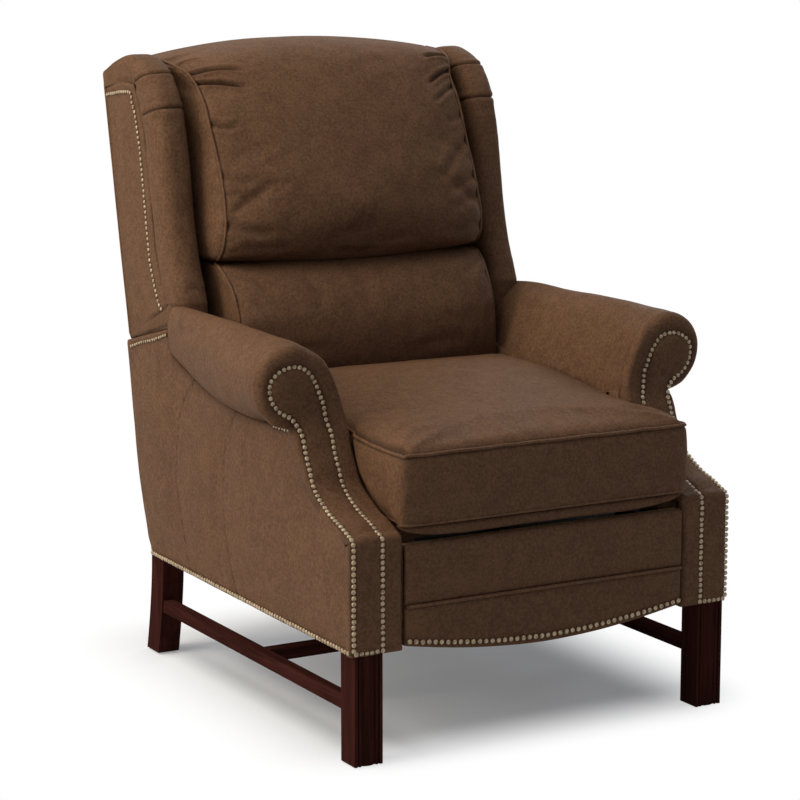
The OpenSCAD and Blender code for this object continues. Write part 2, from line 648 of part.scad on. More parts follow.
// Height share, distance of the seam in front of the back frame, width share, crown
lumbar_shares = [[0.0, 0.7, 0.95, 0.0], [0.03, 0.88, 0.985, 0.05], [0.15, 0.975, 1.0, 0.1],
  [0.28, 1.0, 1.0, 0.15], [0.36, 1.02, 1.0, 0.6], [0.46, 1.045, 1.0, 1.0], [0.6, 1.04, 1.0, 1.1],
  [0.75, 1.02, 1.0, 1.1], [0.87, 0.94, 1.0, 0.9], [0.95, 0.83, 1.0, 0.6], [1.0, 0.6, 0.97, 0.2]];
lumbar_gap = 14;
lumbar_deep = frame_front(cushion_z + boxing_h + cushion_rise) - cushion_d - lumbar_gap;
lumbar_half = in_x - soft_gap;
lumbar_crown = 25;

module lumbar_pillow() color(leather) loft([for (s = lumbar_shares) let (z = lumbar_low + s[0] * lumbar_h)
  pillow_ring(z, frame_front(z) - s[1] * lumbar_deep, frame_front(z), s[2] * lumbar_half,
    s[3] * lumbar_crown, 0)]);

// Seat

board_front = footrest_pad_t - overhang + touch_gap;
board_back = board_front + footrest_t;
seat_front = board_back + touch_gap;
seat_in = runner_x - seat_rail_t;
seat_low = seat_frame_z - seat_rail_h;
flat_rail_d = 58;
flat_rail_h = 18;
swing_rise = 13;
swing_z = seat_low + swing_rise;

module seat_frame() color(timber) difference() {
  union() {
    both_sides() box([seat_in, along(seat_front), seat_low],
      [runner_x - touch_gap / 2, along(cushion_d), seat_frame_z]);
    box([-seat_in, along(seat_front), seat_frame_z - flat_rail_h],
      [seat_in, along(seat_front + flat_rail_d), seat_frame_z]);
    box([-seat_in, along(cushion_d - seat_rail_t), seat_low], [seat_in, along(cushion_d), seat_frame_z]);
  }
  rod(-runner_x - overrun, runner_x + overrun, pin_dia + 2 * pin_gap, swing_at, swing_z);
}

seat_straps_long = 5;
seat_straps_wide = 4;

module seat_webbing() color(webbing) {
  for (i = [0:seat_straps_long - 1]) let (x = mix(-seat_in, seat_in, (i + 0.5) / seat_straps_long))
    box([x - strap_w / 2, along(seat_front + strap_w / 4), seat_frame_z],
      [x + strap_w / 2, along(cushion_d - overrun), seat_frame_z + strap_t]);
  for (i = [0:seat_straps_wide - 1])
    let (d = mix(seat_front + flat_rail_d, cushion_d - seat_rail_t, (i + 0.5) / seat_straps_wide))
      box([-seat_in - seat_rail_t / 2, along(d - strap_w / 2), seat_frame_z + strap_t],
        [seat_in + seat_rail_t / 2, along(d + strap_w / 2), seat_frame_z + 2 * strap_t]);
}

module seat_deck() color(leather_dark) box([-runner_x, along(seat_front), deck_z],
  [runner_x, along(cushion_d), deck_z + deck_t]);

cushion_half = in_x - soft_gap;
cushion_r = 30;
// Rings of the cushion: plan share, height share of the boxing, crown share
cushion_shares = [[0.55, 0.0, 0], [0.92, 0.0, 0], [0.98, 0.01, 0], [0.995, 0.05, 0], [1.0, 0.25, 0],
  [1.0, 0.5, 0], [1.0, 0.75, 0], [1.0, 0.96, 0], [0.985, 1.0, 0.08], [0.94, 1.0, 0.3], [0.85, 1.0, 0.55],
  [0.7, 1.0, 0.8], [0.5, 1.0, 0.93], [0.25, 1.0, 1.0]];
cushion_pull = 4;
cushion_arc = 5;
cushion_side = 5;
half_cushion_d = (cushion_d + overhang) / 2;
function rise_at(d) = cushion_rise * (1 - pow(1 - clamp01(d / (cushion_d / 2)), 2));
function cushion_ring(s) = [for (p = rounded(cushion_half * s[0], half_cushion_d * s[0], cushion_r * s[0],
    cushion_arc, cushion_side))
  let (u = p[0] / cushion_half, v = p[1] / half_cushion_d,
    x = p[0] - u * cushion_pull * max(0, s[0] - v * v), d = (cushion_d - overhang) / 2
      + p[1] - v * cushion_pull / 2 * max(0, s[0] - u * u))
    [x, along(d), cushion_z + touch_gap + s[1] * (boxing_h + rise_at(d))
      + s[2] * (cushion_crown - cushion_rise)]];

module seat_cushion() color(leather) loft([for (s = cushion_shares) cushion_ring(s)]);

// Footrest links: swing arms hang from the seat, lift arms climb back up to the board

swing_x = seat_in - touch_gap - steel_t;
lift_x = swing_x - touch_gap - steel_t;
ear_x = lift_x - touch_gap - steel_t;
elbow_z = swing_z - swing_len;
lift_drop = 10;
lift_z = swing_z - lift_drop;
tube_dia = 14;

// A flat link with round ends between two pivots
module link(x0, p, q) {
  v = q - p;
  difference() {
    across(x0, x0 + steel_t) union() {
      translate([along(p[0]), p[1]]) rotate(atan2(v[1], v[0]))
        translate([0, -link_w / 2]) square([norm(v), link_w]);
      for (c = [p, q]) translate([along(c[0]), c[1]]) circle(d = link_w);
    }
    for (c = [p, q]) rod(x0 - overrun, x0 + steel_t + overrun, pin_dia + 2 * pin_gap, c[0], c[1]);
  }
}

module swing_arms() color(steel) {
  both_sides() link(swing_x, [swing_at, swing_z], [swing_at, elbow_z]);
  rod(-swing_x, swing_x, tube_dia, swing_at, (swing_z + elbow_z) / 2);
}

module lift_arms() color(steel) {
  both_sides() link(lift_x, [swing_at, elbow_z], [lift_at, lift_z]);
  rod(-lift_x, lift_x, tube_dia, (swing_at + lift_at) / 2, (elbow_z + lift_z) / 2);
}

module link_pins(x0, x1, d, z) color(steel) both_sides() rod(x0, x1, pin_dia, d, z);
module swing_pins() link_pins(lift_x + steel_t / 2, runner_x - touch_gap, swing_at, swing_z);
module elbow_pins() link_pins(ear_x + steel_t / 2, swing_x + steel_t, swing_at, elbow_z);
module board_pins() link_pins(ear_x - touch_gap, lift_x + steel_t, lift_at, lift_z);

foot_w = 30;

module board_brackets() color(steel) both_sides() difference() {
  union() {
    across(ear_x, ear_x + steel_t) union() {
      polygon(chair_line([[board_back, lift_z + link_w / 2], [board_back, lift_z - 2 * link_w],
        [board_back + steel_t, lift_z - 2 * link_w], [lift_at + link_w / 3, lift_z - link_w / 2],
        [lift_at, lift_z + link_w / 2]]));
      translate([along(lift_at), lift_z]) circle(d = link_w);
    }
    box([ear_x - foot_w, along(board_back), lift_z - 2 * link_w],
      [ear_x + steel_t, along(board_back + steel_t * 3 / 4), lift_z + link_w / 4]);
  }
  rod(ear_x - foot_w / 3, ear_x + steel_t + overrun, pin_dia + 2 * pin_gap, lift_at, lift_z);
}

footrest_half = in_x - overrun;
footrest_gap = 4;
footrest_low = leg_h + footrest_gap;
footrest_top = seat_frame_z - flat_rail_h - touch_gap - soft_gap;
bow_reach_share = 0.84;
function bow_at(x) = bow * (0.5 + 0.5 * cos(180 * clamp01(abs(x) / (footrest_half * bow_reach_share))));
bow_steps = 28;
function footrest_outline(half, top, low) = concat([[half, top], [-half, top]],
  [for (i = [0:bow_steps]) let (x = mix(-half, half, i / bow_steps)) [x, low - bow_at(x)]]);

module footrest_board() color(ply) endways(along(board_front), along(board_back))
  polygon(footrest_outline(footrest_half - overrun, footrest_top - overrun, footrest_low + overrun));

pad_edge = 4;

module footrest_pad() color(leather) intersection() {
  endways(along(-overhang), along(board_front - touch_gap))
    polygon(footrest_outline(footrest_half, footrest_top, footrest_low));
  across(-footrest_half, footrest_half) polygon(chair_line([
    [board_front - touch_gap, footrest_low - bow], [board_front - touch_gap, footrest_top],
    [pad_edge - overhang, footrest_top], [-overhang + pad_edge / 4, footrest_top - pad_edge],
    [-overhang, (footrest_top + footrest_low + welt_up) / 2],
    [-overhang + pad_edge / 3, footrest_low + welt_up + pad_edge],
    [-overhang + pad_edge, footrest_low + welt_up],
    [-overhang + pad_edge, footrest_low - bow]]));
}

front_leg("left");  // left_front_leg
front_leg("right");  // right_front_leg
rear_leg("left");  // left_rear_leg
rear_leg("right");  // right_rear_leg
leg_glides();
leg_bolts();
side_stretcher("left");  // left_side_stretcher
side_stretcher("right");  // right_side_stretcher
cross_stretcher();
side_rail("left");  // left_side_rail
side_rail("right");  // right_side_rail
front_cross_rail();
rear_rail();
rear_skirt();
dust_cover();
front_post("left");  // left_front_post
front_post("right");  // right_front_post
side_board("left");  // left_side_board
side_board("right");  // right_side_board
outer_panel("left");  // left_outer_panel
outer_panel("right");  // right_outer_panel
arm_pad("left");  // left_arm_pad
arm_pad("right");  // right_arm_pad
arm_front("left");  // left_arm_front
arm_front("right");  // right_arm_front
seat_track("left");  // left_seat_track
seat_track("right");  // right_seat_track
pivot_plate("left");  // left_pivot_plate
pivot_plate("right");  // right_pivot_plate
recline_pins();
back_post("left");  // left_back_post
back_post("right");  // right_back_post
back_rails();
back_webbing();
outside_back();
wing_roll("left");  // left_wing_roll
wing_roll("right");  // right_wing_roll
wing_board("left");  // left_wing_board
wing_board("right");  // right_wing_board
wing_skin("left");  // left_wing_skin
wing_skin("right");  // right_wing_skin
headrest_pillow();
lumbar_pillow();
back_bracket("left");  // left_back_bracket
back_bracket("right");  // right_back_bracket
seat_frame();
seat_webbing();
seat_deck();
seat_cushion();
seat_runner("left");  // left_seat_runner
seat_runner("right");  // right_seat_runner
swing_pins();
swing_arms();
elbow_pins();
lift_arms();
board_pins();
board_brackets();
footrest_board();
footrest_pad();
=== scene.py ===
# Wing armchair on high legs: leather, nail rows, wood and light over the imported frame.
import math
import bmesh
import bpy
import numpy as np
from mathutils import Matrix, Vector, geometry


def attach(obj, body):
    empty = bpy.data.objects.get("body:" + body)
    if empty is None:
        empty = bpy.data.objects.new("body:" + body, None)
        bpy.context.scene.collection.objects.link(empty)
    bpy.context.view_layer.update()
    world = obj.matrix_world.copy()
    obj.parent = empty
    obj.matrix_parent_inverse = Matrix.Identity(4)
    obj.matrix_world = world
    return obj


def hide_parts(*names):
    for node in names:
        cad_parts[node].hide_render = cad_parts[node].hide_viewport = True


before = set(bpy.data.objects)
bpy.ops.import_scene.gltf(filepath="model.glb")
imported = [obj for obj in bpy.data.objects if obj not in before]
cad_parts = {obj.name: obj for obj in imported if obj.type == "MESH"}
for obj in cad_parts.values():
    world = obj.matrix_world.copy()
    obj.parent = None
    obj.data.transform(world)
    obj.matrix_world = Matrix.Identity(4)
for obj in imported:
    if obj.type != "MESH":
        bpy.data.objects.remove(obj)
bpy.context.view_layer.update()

# Places are in millimetres: across, back from the face of the posts, up. Left is minus across.
toMetres = 0.001
postFaceY = -0.457605
chair = {"seatSide": 257, "armSide": 346, "leatherLow": 175, "postTop": 357,
         "armTop": 628, "armRear": 640, "baseDeep": 747, "backLean": 12, "backTop": 1004}
leanSlope = math.tan(math.radians(chair["backLean"]))
sides = {"left": -1, "right": 1}


def rearAt(z):
    return chair["baseDeep"] + (z - chair["leatherLow"]) * leanSlope


def frameFront(z):
    return rearAt(z) - 56.3


def smooth(low, high, value):
    t = np.clip((np.asarray(value, float) - low) / (high - low), 0, 1)
    return t * t * (3 - 2 * t)


def bell(distance, width):
    return np.exp(-(np.asarray(distance, float) / width) ** 2)


def lengthsOf(line):
    return np.concatenate([[0], np.cumsum(np.linalg.norm(np.diff(line, axis=0), axis=1))])


def evenly(line, step, closed=False):
    line = np.asarray(line, float)
    if closed:
        line = np.vstack([line, line[:1]])
    run = lengthsOf(line)
    count = max(2, int(round(run[-1] / step)) + 1)
    at = np.linspace(0, run[-1], count)
    even = np.column_stack([np.interp(at, run, line[:, k]) for k in range(line.shape[1])])
    return even[:-1] if closed else even


def through(points, step):
    # a smooth line through given points
    p = np.asarray(points, float)
    around = np.vstack([2 * p[0] - p[1], p, 2 * p[-1] - p[-2]])
    t = np.linspace(0, 1, 14, endpoint=False)[:, None]
    runs = []
    for i in range(len(around) - 3):
        a, b, c, d = around[i:i + 4]
        runs.append(0.5 * (2 * b + (c - a) * t + (2 * a - 5 * b + 4 * c - d) * t ** 2
                           + (3 * b - a - 3 * c + d) * t ** 3))
    runs.append(around[-2:-1])
    return evenly(np.vstack(runs), step)


def nearest(points, line):
    # distance to a line, and the share of its length where the nearest point is
    gap, share = np.full(len(points), 1e9), np.zeros(len(points))
    run = lengthsOf(line)
    for i in range(len(line) - 1):
        v = line[i + 1] - line[i]
        t = np.clip((points - line[i]) @ v / (v @ v + 1e-12), 0, 1)
        d = np.linalg.norm(points - line[i] - t[:, None] * v, axis=1)
        closer = d < gap
        gap[closer] = d[closer]
        share[closer] = (run[i] + t[closer] * (run[i + 1] - run[i])) / run[-1]
    return gap, share


def softNoise(points, size, seed=0):
    # value noise between -1 and 1 on a lattice of that size
    p = np.asarray(points, float) / size + 31.7 * seed
    cell = np.floor(p).astype(np.int64)
    f = p - cell
    f = f * f * (3 - 2 * f)
    total = np.zeros(len(p))
    for corner in range(8):
        pick = [(corner >> k) & 1 for k in range(3)]
        h = sum((cell[:, k] + pick[k]) * (374761393, 668265263, 1103515245)[k] for k in range(3)) + seed * 7919
        h = (h ^ (h >> 13)) * 1274126177
        h = (h ^ (h >> 16)) & 0xffff
        weight = np.ones(len(p))
        for k in range(3):
            weight = weight * (f[:, k] if pick[k] else 1 - f[:, k])
        total += weight * (h / 32767.5 - 1)
    return total


def creases(where, strokes):
    # soft folds: each stroke is (points, depth, width); a valley with a low ridge beside it, fading at its ends, with
    # painted shade marked along the valley
    rise, foldShade = np.zeros(len(where)), np.zeros(len(where))
    for points, depth, width in strokes:
        line = through(points, 8) if len(points) > 2 else evenly(points, 8)
        low, high = line.min(0) - 4 * width, line.max(0) + 4 * width
        near = np.all((where > low) & (where < high), axis=1)
        if not near.any():
            continue
        gap, share = nearest(where[near], line)
        fade = smooth(0, 0.25, share) * smooth(1, 0.65, share) if depth > 0 else smooth(1, 0.6, share)
        depth = abs(depth)
        rise[near] += depth * fade * (0.45 * bell(gap - 2.1 * width, 1.1 * width) - bell(gap, width))
        foldShade[near] += fade * bell(gap, width * 0.8) * min(1, depth / 4) * min(1, (4.5 / width) ** 2)
    return rise, foldShade


# Node trees

class Wire:
    # one output of a node, with plain arithmetic on it
    def __init__(self, bench, socket):
        self.bench, self.socket = bench, socket

    def maths(self, operation, first, second):
        return self.bench.node("ShaderNodeMath", {0: first, 1: second}, operation=operation)

    def __add__(self, other):
        return self.maths("ADD", self, other)

    def __radd__(self, other):
        return self.maths("ADD", other, self)

    def __sub__(self, other):
        return self.maths("SUBTRACT", self, other)

    def __rsub__(self, other):
        return self.maths("SUBTRACT", other, self)

    def __mul__(self, other):
        return self.maths("MULTIPLY", self, other)

    def __rmul__(self, other):
        return self.maths("MULTIPLY", other, self)

    def between(self, low, high, start=0.0, end=1.0):
        # runs from start to end as this goes from low to high
        return self.bench.node("ShaderNodeMapRange", {0: self, 1: low, 2: high, 3: start, 4: end},
                               interpolation_type="SMOOTHSTEP")

    def other(self, name):
        return Wire(self.bench, self.socket.node.outputs[name])


class Bench:
    def __init__(self, tree):
        self.tree = tree

    def node(self, kind, inputs=None, out=0, **choices):
        made = self.tree.nodes.new(kind)
        for name, value in choices.items():
            setattr(made, name, value)
        for key, value in (inputs or {}).items():
            if isinstance(value, Wire):
                self.tree.links.new(value.socket, made.inputs[key])
            else:
                made.inputs[key].default_value = value
        return Wire(self, made.outputs[out]) if made.outputs else made

    def noise(self, place, scale, detail, out="Fac", **more):
        return self.node("ShaderNodeTexNoise", {"Vector": place, "Scale": scale, "Detail": detail, **more}, out=out)

    def blend(self, share, first, second, way="MIX"):
        return self.node("ShaderNodeMix", {0: share, 6: first, 7: second}, out=2, data_type="RGBA",
                         blend_type=way, clamp_factor=True)


def paint(red, green, blue):
    # screen colour, 0 to 255, as linear light
    linear = [c / 255 / 12.92 if c / 255 <= 0.04045 else ((c / 255 + 0.055) / 1.055) ** 2.4
              for c in (red, green, blue)]
    return (*linear, 1.0)


def newFinish(name):
    finish = bpy.data.materials.new(name)
    finish.use_nodes = True
    finish.node_tree.nodes.clear()
    return finish, Bench(finish.node_tree)


def closeFinish(bench, color, roughness, height, lift, **fixed):
    surface = {"Base Color": color, "Roughness": roughness}
    if height is not None:
        surface["Normal"] = bench.node("ShaderNodeBump", {"Height": height, "Distance": lift, "Strength": 1.0})
    surface.update({key.replace("_", " "): value for key, value in fixed.items()})
    shader = bench.node("ShaderNodeBsdfPrincipled", surface)
    bench.node("ShaderNodeOutputMaterial", {"Surface": shader})


leatherLook = {"deep": paint(92, 65, 46), "light": paint(122, 90, 65), "groove": paint(42, 28, 19),
               "pebble": 0.0021, "mottle": 0.0046, "cloud": 0.085, "lift": 0.0006, "rough": 0.58}


def leatherFinish(name, look, shade=1.0):
    finish, b = newFinish(name)
    place = b.node("ShaderNodeTexCoord", out="Object")
    foldShade = b.node("ShaderNodeAttribute", out="Fac", attribute_name="foldShade")
    wander = b.noise(place, 260.0, 2.0, "Color")
    bent = b.node("ShaderNodeVectorMath", {0: wander, 1: (0.0011, 0.0011, 0.0011), 2: place},
                  operation="MULTIPLY_ADD")
    cell = b.node("ShaderNodeTexVoronoi", {"Vector": bent, "Scale": 1 / look["pebble"], "Randomness": 0.9},
                  out="Distance", feature="DISTANCE_TO_EDGE")
    pebble = cell.between(0.0, 0.32)
    mottle = b.noise(place, 1 / look["mottle"], 3.0, Roughness=0.6)
    cloud = b.noise(place, 1 / look["cloud"], 4.0, Roughness=0.62, Distortion=0.4)
    patch = b.noise(place, 45.0, 3.0)
    tone = cloud * 0.22 + patch * 0.2 + mottle * 0.58
    color = b.blend(tone.between(0.36, 0.64), look["deep"], look["light"])
    color = b.blend((1 - pebble) * 0.3, color, look["deep"])
    # painted shade: darker towards the shade colour where folds, seams, nail lines and the hollows under the rolls are
    # marked
    color = b.blend(foldShade.between(0.0, 1.0) * 0.8, color, look["groove"])
    # a shade below 1 darkens the whole leather towards black: a shaded copy, painted shade
    if shade != 1.0:
        color = b.blend(1 - shade, color, (0.0, 0.0, 0.0, 1.0))
    height = pebble * 0.6 + mottle * 0.8 + patch * 0.5
    rough = look["rough"] + (1 - pebble) * 0.1 + (cloud - 0.5) * 0.2
    closeFinish(b, color, rough, height, look["lift"], Specular_IOR_Level=0.08)
    return finish


def woodFinish(name, dark, light, along, rough):
    # grain runs along one axis: 0 across, 1 back, 2 up
    finish, b = newFinish(name)
    place = b.node("ShaderNodeTexCoord", out="Object")
    stretch = [70.0, 70.0, 70.0]
    stretch[along] = 4.0
    drawn = b.node("ShaderNodeVectorMath", {0: place, 1: tuple(stretch)}, operation="MULTIPLY")
    grain = b.noise(drawn, 1.0, 5.0, Roughness=0.65, Distortion=0.6)
    fine = b.noise(drawn, 6.0, 2.0)
    color = b.blend((grain * 0.75 + fine * 0.25).between(0.36, 0.66), dark, light)
    closeFinish(b, color, rough + (grain - 0.5) * 0.2, fine * 0.6 + grain * 0.4, 0.00012,
                Specular_IOR_Level=0.0)
    return finish


def metalFinish(name, base, patina, rough, lift=0.00008, metal=1.0):
    finish, b = newFinish(name)
    place = b.node("ShaderNodeTexCoord", out="Object")
    cloud = b.noise(place, 240.0, 3.0)
    fine = b.noise(place, 1400.0, 2.0)
    color = b.blend(cloud.between(0.42, 0.68), base, patina)
    closeFinish(b, color, rough + (cloud - 0.5) * 0.3, fine, lift, Metallic=metal)
    return finish


def wovenFinish(name, dark, light, pitch, rough=0.85):
    finish, b = newFinish(name)
    place = b.node("ShaderNodeTexCoord", out="Object")
    warp, weft = (b.node("ShaderNodeTexWave", {"Vector": place, "Scale": 1 / pitch / 20, "Distortion": 0.4},
                         out="Fac", bands_direction=axis) for axis in "XZ")
    cloud = b.noise(place, 60.0, 3.0)
    threads = warp * 0.5 + weft * 0.5
    color = b.blend(threads * 0.5 + cloud * 0.5, dark, light)
    closeFinish(b, color, rough + (cloud - 0.5) * 0.2, threads, 0.0004)
    return finish


mahogany = paint(51, 27, 23), paint(73, 39, 34)
finishes = {
    "leather": leatherFinish("brownLeather", leatherLook),
    "welt": leatherFinish("weltLeather", dict(leatherLook, lift=0.0002, rough=0.46)),
    # the deck and seat frame under the cushion get the brown leather darkened to half, painted shade for the dark gap
    # there
    "shadeLeather": leatherFinish("paintedShadeDeckLeather", leatherLook, 0.5),
    "uprightMahogany": woodFinish("uprightMahogany", *mahogany, 2, 0.42),
    "alongMahogany": woodFinish("alongMahogany", *mahogany, 1, 0.42),
    "acrossMahogany": woodFinish("acrossMahogany", *mahogany, 0, 0.42),
    "beech": woodFinish("frameBeech", paint(176, 138, 96), paint(205, 170, 126), 2, 0.6),
    "ply": woodFinish("boardPly", paint(168, 132, 92), paint(198, 166, 124), 1, 0.65),
    "steel": metalFinish("linkSteel", paint(96, 94, 92), paint(62, 60, 60), 0.38),
    "brass": metalFinish("antiqueBrass", paint(196, 172, 138), paint(128, 108, 82), 0.45, 0.00015, 0.12),
    "webbing": wovenFinish("juteWebbing", paint(120, 98, 70), paint(168, 144, 108), 0.0016),
    "dustCloth": wovenFinish("dustCloth", paint(24, 23, 23), paint(42, 40, 39), 0.001),
    "nylon": wovenFinish("glideNylon", paint(26, 22, 20), paint(44, 39, 36), 0.003, 0.5),
}
print("finishes made:", len(finishes))


# Meshes

def chairMetres(points):
    p = np.asarray(points, float) * toMetres
    p[:, 1] += postFaceY
    return p


def makeMesh(name, points, faces, finish, marks=None):
    # a mesh with its finish; marks are values at its points, and among them always the mark of painted shade in folds,
    # seams and nail lines
    mesh = bpy.data.meshes.new(name)
    mesh.from_pydata(chairMetres(points).tolist(), [], [list(map(int, f)) for f in faces])
    mesh.validate()
    for key, values in {"foldShade": np.zeros(len(points)), **(marks or {})}.items():
        mesh.attributes.new(key, "FLOAT", "POINT").data.foreach_set("value", np.asarray(values, np.float32))
    piece = bpy.data.objects.new(name, mesh)
    bpy.context.scene.collection.objects.link(piece)
    faceOutwards(mesh)
    mesh.polygons.foreach_set("use_smooth", np.full(len(mesh.polygons), True))
    mesh.materials.append(finishes[finish])
    return piece


def faceOutwards(mesh):
    bm = bmesh.new()
    bm.from_mesh(mesh)
    bmesh.ops.recalc_face_normals(bm, faces=bm.faces)
    bm.to_mesh(mesh)
    bm.free()


def spots(piece):
    # the piece's points in chair millimetres
    co = np.zeros(len(piece.data.vertices) * 3)
    piece.data.vertices.foreach_get("co", co)
    p = co.reshape(-1, 3)
    p[:, 1] -= postFaceY
    return p / toMetres


def setSpots(piece, points):
    piece.data.vertices.foreach_set("co", chairMetres(points).ravel())
    piece.data.update()


def pointing(piece):
    n = np.zeros(len(piece.data.vertices) * 3)
    piece.data.vertex_normals.foreach_get("vector", n)
    return n.reshape(-1, 3)


def marksOf(piece, name):
    values = np.zeros(len(piece.data.vertices), np.float32)
    piece.data.attributes[name].data.foreach_get("value", values)
    return values.astype(float)


def press(piece, rise, foldShade):
    # moves the surface out along its normals and marks where shade is painted in its folds
    setSpots(piece, spots(piece) + pointing(piece) * rise[:, None])
    marks = piece.data.attributes["foldShade"].data
    marks.foreach_set("value", np.clip(foldShade, 0, 1).astype(np.float32))


def makePlain(piece):
    # the evaluated piece as a plain mesh, its modifiers gone
    now = bpy.context.evaluated_depsgraph_get()
    mesh = bpy.data.meshes.new_from_object(piece.evaluated_get(now), preserve_all_data_layers=True, depsgraph=now)
    piece.modifiers.clear()
    old = piece.data
    piece.data = mesh
    bpy.data.meshes.remove(old)
    mesh.name = piece.name


def refine(piece):
    more = piece.modifiers.new("finer", "SUBSURF")
    more.levels = more.render_levels = 1
    makePlain(piece)


def blowUp(piece, held, pressure, cap, stiff=15, bend=0.6):
    # cloth blown up a little; held is 0 to 1 for each point, cap is in millimetres
    start = spots(piece)
    group = piece.vertex_groups.new(name="held")
    for level in np.unique(np.round(held, 1)):
        if level > 0:
            group.add([int(i) for i in np.flatnonzero(np.round(held, 1) == level)], float(level), "REPLACE")
    cloth = piece.modifiers.new("blowUp", "CLOTH")
    made = cloth.settings
    made.quality = 6
    made.mass = 0.3
    made.tension_stiffness = made.compression_stiffness = stiff
    made.shear_stiffness = stiff / 3
    made.bending_stiffness = bend
    made.use_pressure = True
    made.uniform_pressure_force = pressure
    made.vertex_group_mass = "held"
    made.effector_weights.gravity = 0
    cloth.collision_settings.use_collision = False
    cloth.point_cache.frame_start, cloth.point_cache.frame_end = 1, 20
    for step in range(1, 21):
        bpy.context.scene.frame_set(step)
    done = piece.evaluated_get(bpy.context.evaluated_depsgraph_get())
    co = np.zeros(len(done.data.vertices) * 3)
    done.data.vertices.foreach_get("co", co)
    p = co.reshape(-1, 3)
    p[:, 1] -= postFaceY
    move = p / toMetres - start
    size = np.linalg.norm(move, axis=1)
    move *= (np.minimum(size, cap) / np.maximum(size, 1e-9))[:, None]
    piece.modifiers.remove(cloth)
    piece.vertex_groups.remove(group)
    bpy.context.scene.frame_set(1)
    setSpots(piece, start + move)
    print("blown up:", piece.name, "up to", round(float(size.max()), 1), "mm")


def fillOutline(outline, step, rows=(1.2, 3.4, 6.5)):
    # even points and triangles inside a closed outline, its border first
    border = evenly(outline, step, closed=True)
    ahead = np.roll(border, -1, axis=0) - np.roll(border, 1, axis=0)
    ahead /= np.linalg.norm(ahead, axis=1)[:, None]
    inward = np.column_stack([-ahead[:, 1], ahead[:, 0]])
    area = np.sum(border[:, 0] * np.roll(border[:, 1], -1) - border[:, 1] * np.roll(border[:, 0], -1))
    if area < 0:
        inward = -inward
    ring = np.vstack([border, border[:1]])
    inside = []
    for k, row in enumerate(rows):
        spot = border + inward * row
        spot = spot if k % 2 == 0 else (spot + np.roll(spot, -1, axis=0)) / 2
        gap, _ = nearest(spot, ring)
        inside.append(spot[gap > row * 0.93])
    low, high = border.min(0), border.max(0)
    xs = np.arange(low[0], high[0], step)
    ys = np.arange(low[1], high[1], step * 0.866)
    gx, gy = np.meshgrid(xs, ys)
    gx = gx + (np.arange(len(ys)) % 2)[:, None] * step / 2
    lattice = np.column_stack([gx.ravel(), gy.ravel()])
    gap, _ = nearest(lattice, ring)
    inside.append(lattice[gap > rows[-1] + step * 0.55])
    points = np.vstack([border] + inside)
    loop = list(range(len(border)))
    verts, _, tris, origin, _, _ = geometry.delaunay_2d_cdt([Vector(p) for p in points],
                                                            [], [loop], 1, 1e-4)
    flat = np.array([list(v) for v in verts])
    first = {}
    for i, made in enumerate(origin):
        for old in made:
            first[old] = i
    borderAt = [first[i] for i in loop]
    gap, _ = nearest(flat, ring)
    return flat, [list(t) for t in tris], borderAt, gap


def panelPiece(name, outline, step, place, rise, thick, finish="leather"):
    # a padded panel: place gives each outline point its spot and its outward direction, rise its height there
    flat, tris, border, gap = fillOutline(outline, step)
    spot, out = place(flat)
    height, foldShade = rise(flat, gap)
    front = spot + out * height[:, None]
    rear = (spot - out * thick)[border]
    count = len(front)
    faces = list(tris)
    for i in range(len(border)):
        j = (i + 1) % len(border)
        faces.append([border[i], border[j], count + j, count + i])
    # the rear has the border's points alone
    _, _, rearTris, origin, _, _ = geometry.delaunay_2d_cdt([Vector(p) for p in flat[border]], [],
                                                            [list(range(len(border)))], 1, 1e-4)
    moved = [made[0] if made else 0 for made in origin]
    faces += [[count + moved[a] for a in tri][::-1] for tri in rearTris]
    marks = np.concatenate([foldShade, np.zeros(len(rear))])
    return makeMesh(name, np.vstack([front, rear]), faces, finish, {"foldShade": marks})


def tube(rings, closed=True):
    # quads between rings of equal length; each closed end meets in a middle point
    count = len(rings[0])
    points = list(np.vstack(rings))
    faces = []
    for r in range(len(rings) - 1):
        for i in range(count):
            j = (i + 1) % count
            faces.append([r * count + i, r * count + j, (r + 1) * count + j, (r + 1) * count + i])
    if closed:
        for end in (0, len(rings) - 1):
            faces += [[end * count + i, end * count + (i + 1) % count, len(points)] for i in range(count)]
            points.append(np.mean(rings[end], axis=0))
    return np.array(points), faces


def declare(piece, body, node=None):
    # the body that a leather piece rides on, and the imported node that it stands for
    if node:
        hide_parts(node)
    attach(piece, body)


def rounded(gap, width, drop):
    # the height lost near an edge that is rounded over that width
    near = 1 - np.clip(gap / width, 0, 1)
    return -drop * (1 - np.sqrt(np.clip(1 - near ** 2, 0, 1)))


def mirrored(points, side):
    p = np.array(points, float)
    p[:, 0] *= side
    return p


# Geometry trees for nail rows and welts

def geometryTree(name, wanted):
    tree = bpy.data.node_groups.new(name, "GeometryNodeTree")
    tree.interface.new_socket("Line", in_out="INPUT", socket_type="NodeSocketGeometry")
    for label, kind, value in wanted:
        socket = tree.interface.new_socket(label, in_out="INPUT", socket_type=kind)
        if value is not None:
            socket.default_value = value
    tree.interface.new_socket("Made", in_out="OUTPUT", socket_type="NodeSocketGeometry")
    return tree, Bench(tree)


nailPitch = {"base": 0.0091, "back": 0.0091, "footrest": 0.0113}
weltLook = {"Width": 0.0052, "Facets": 10}
nailLook = {"Head Width": 0.0081, "Head Height": 0.0019, "Scatter": 0.0003, "Seed": 7}


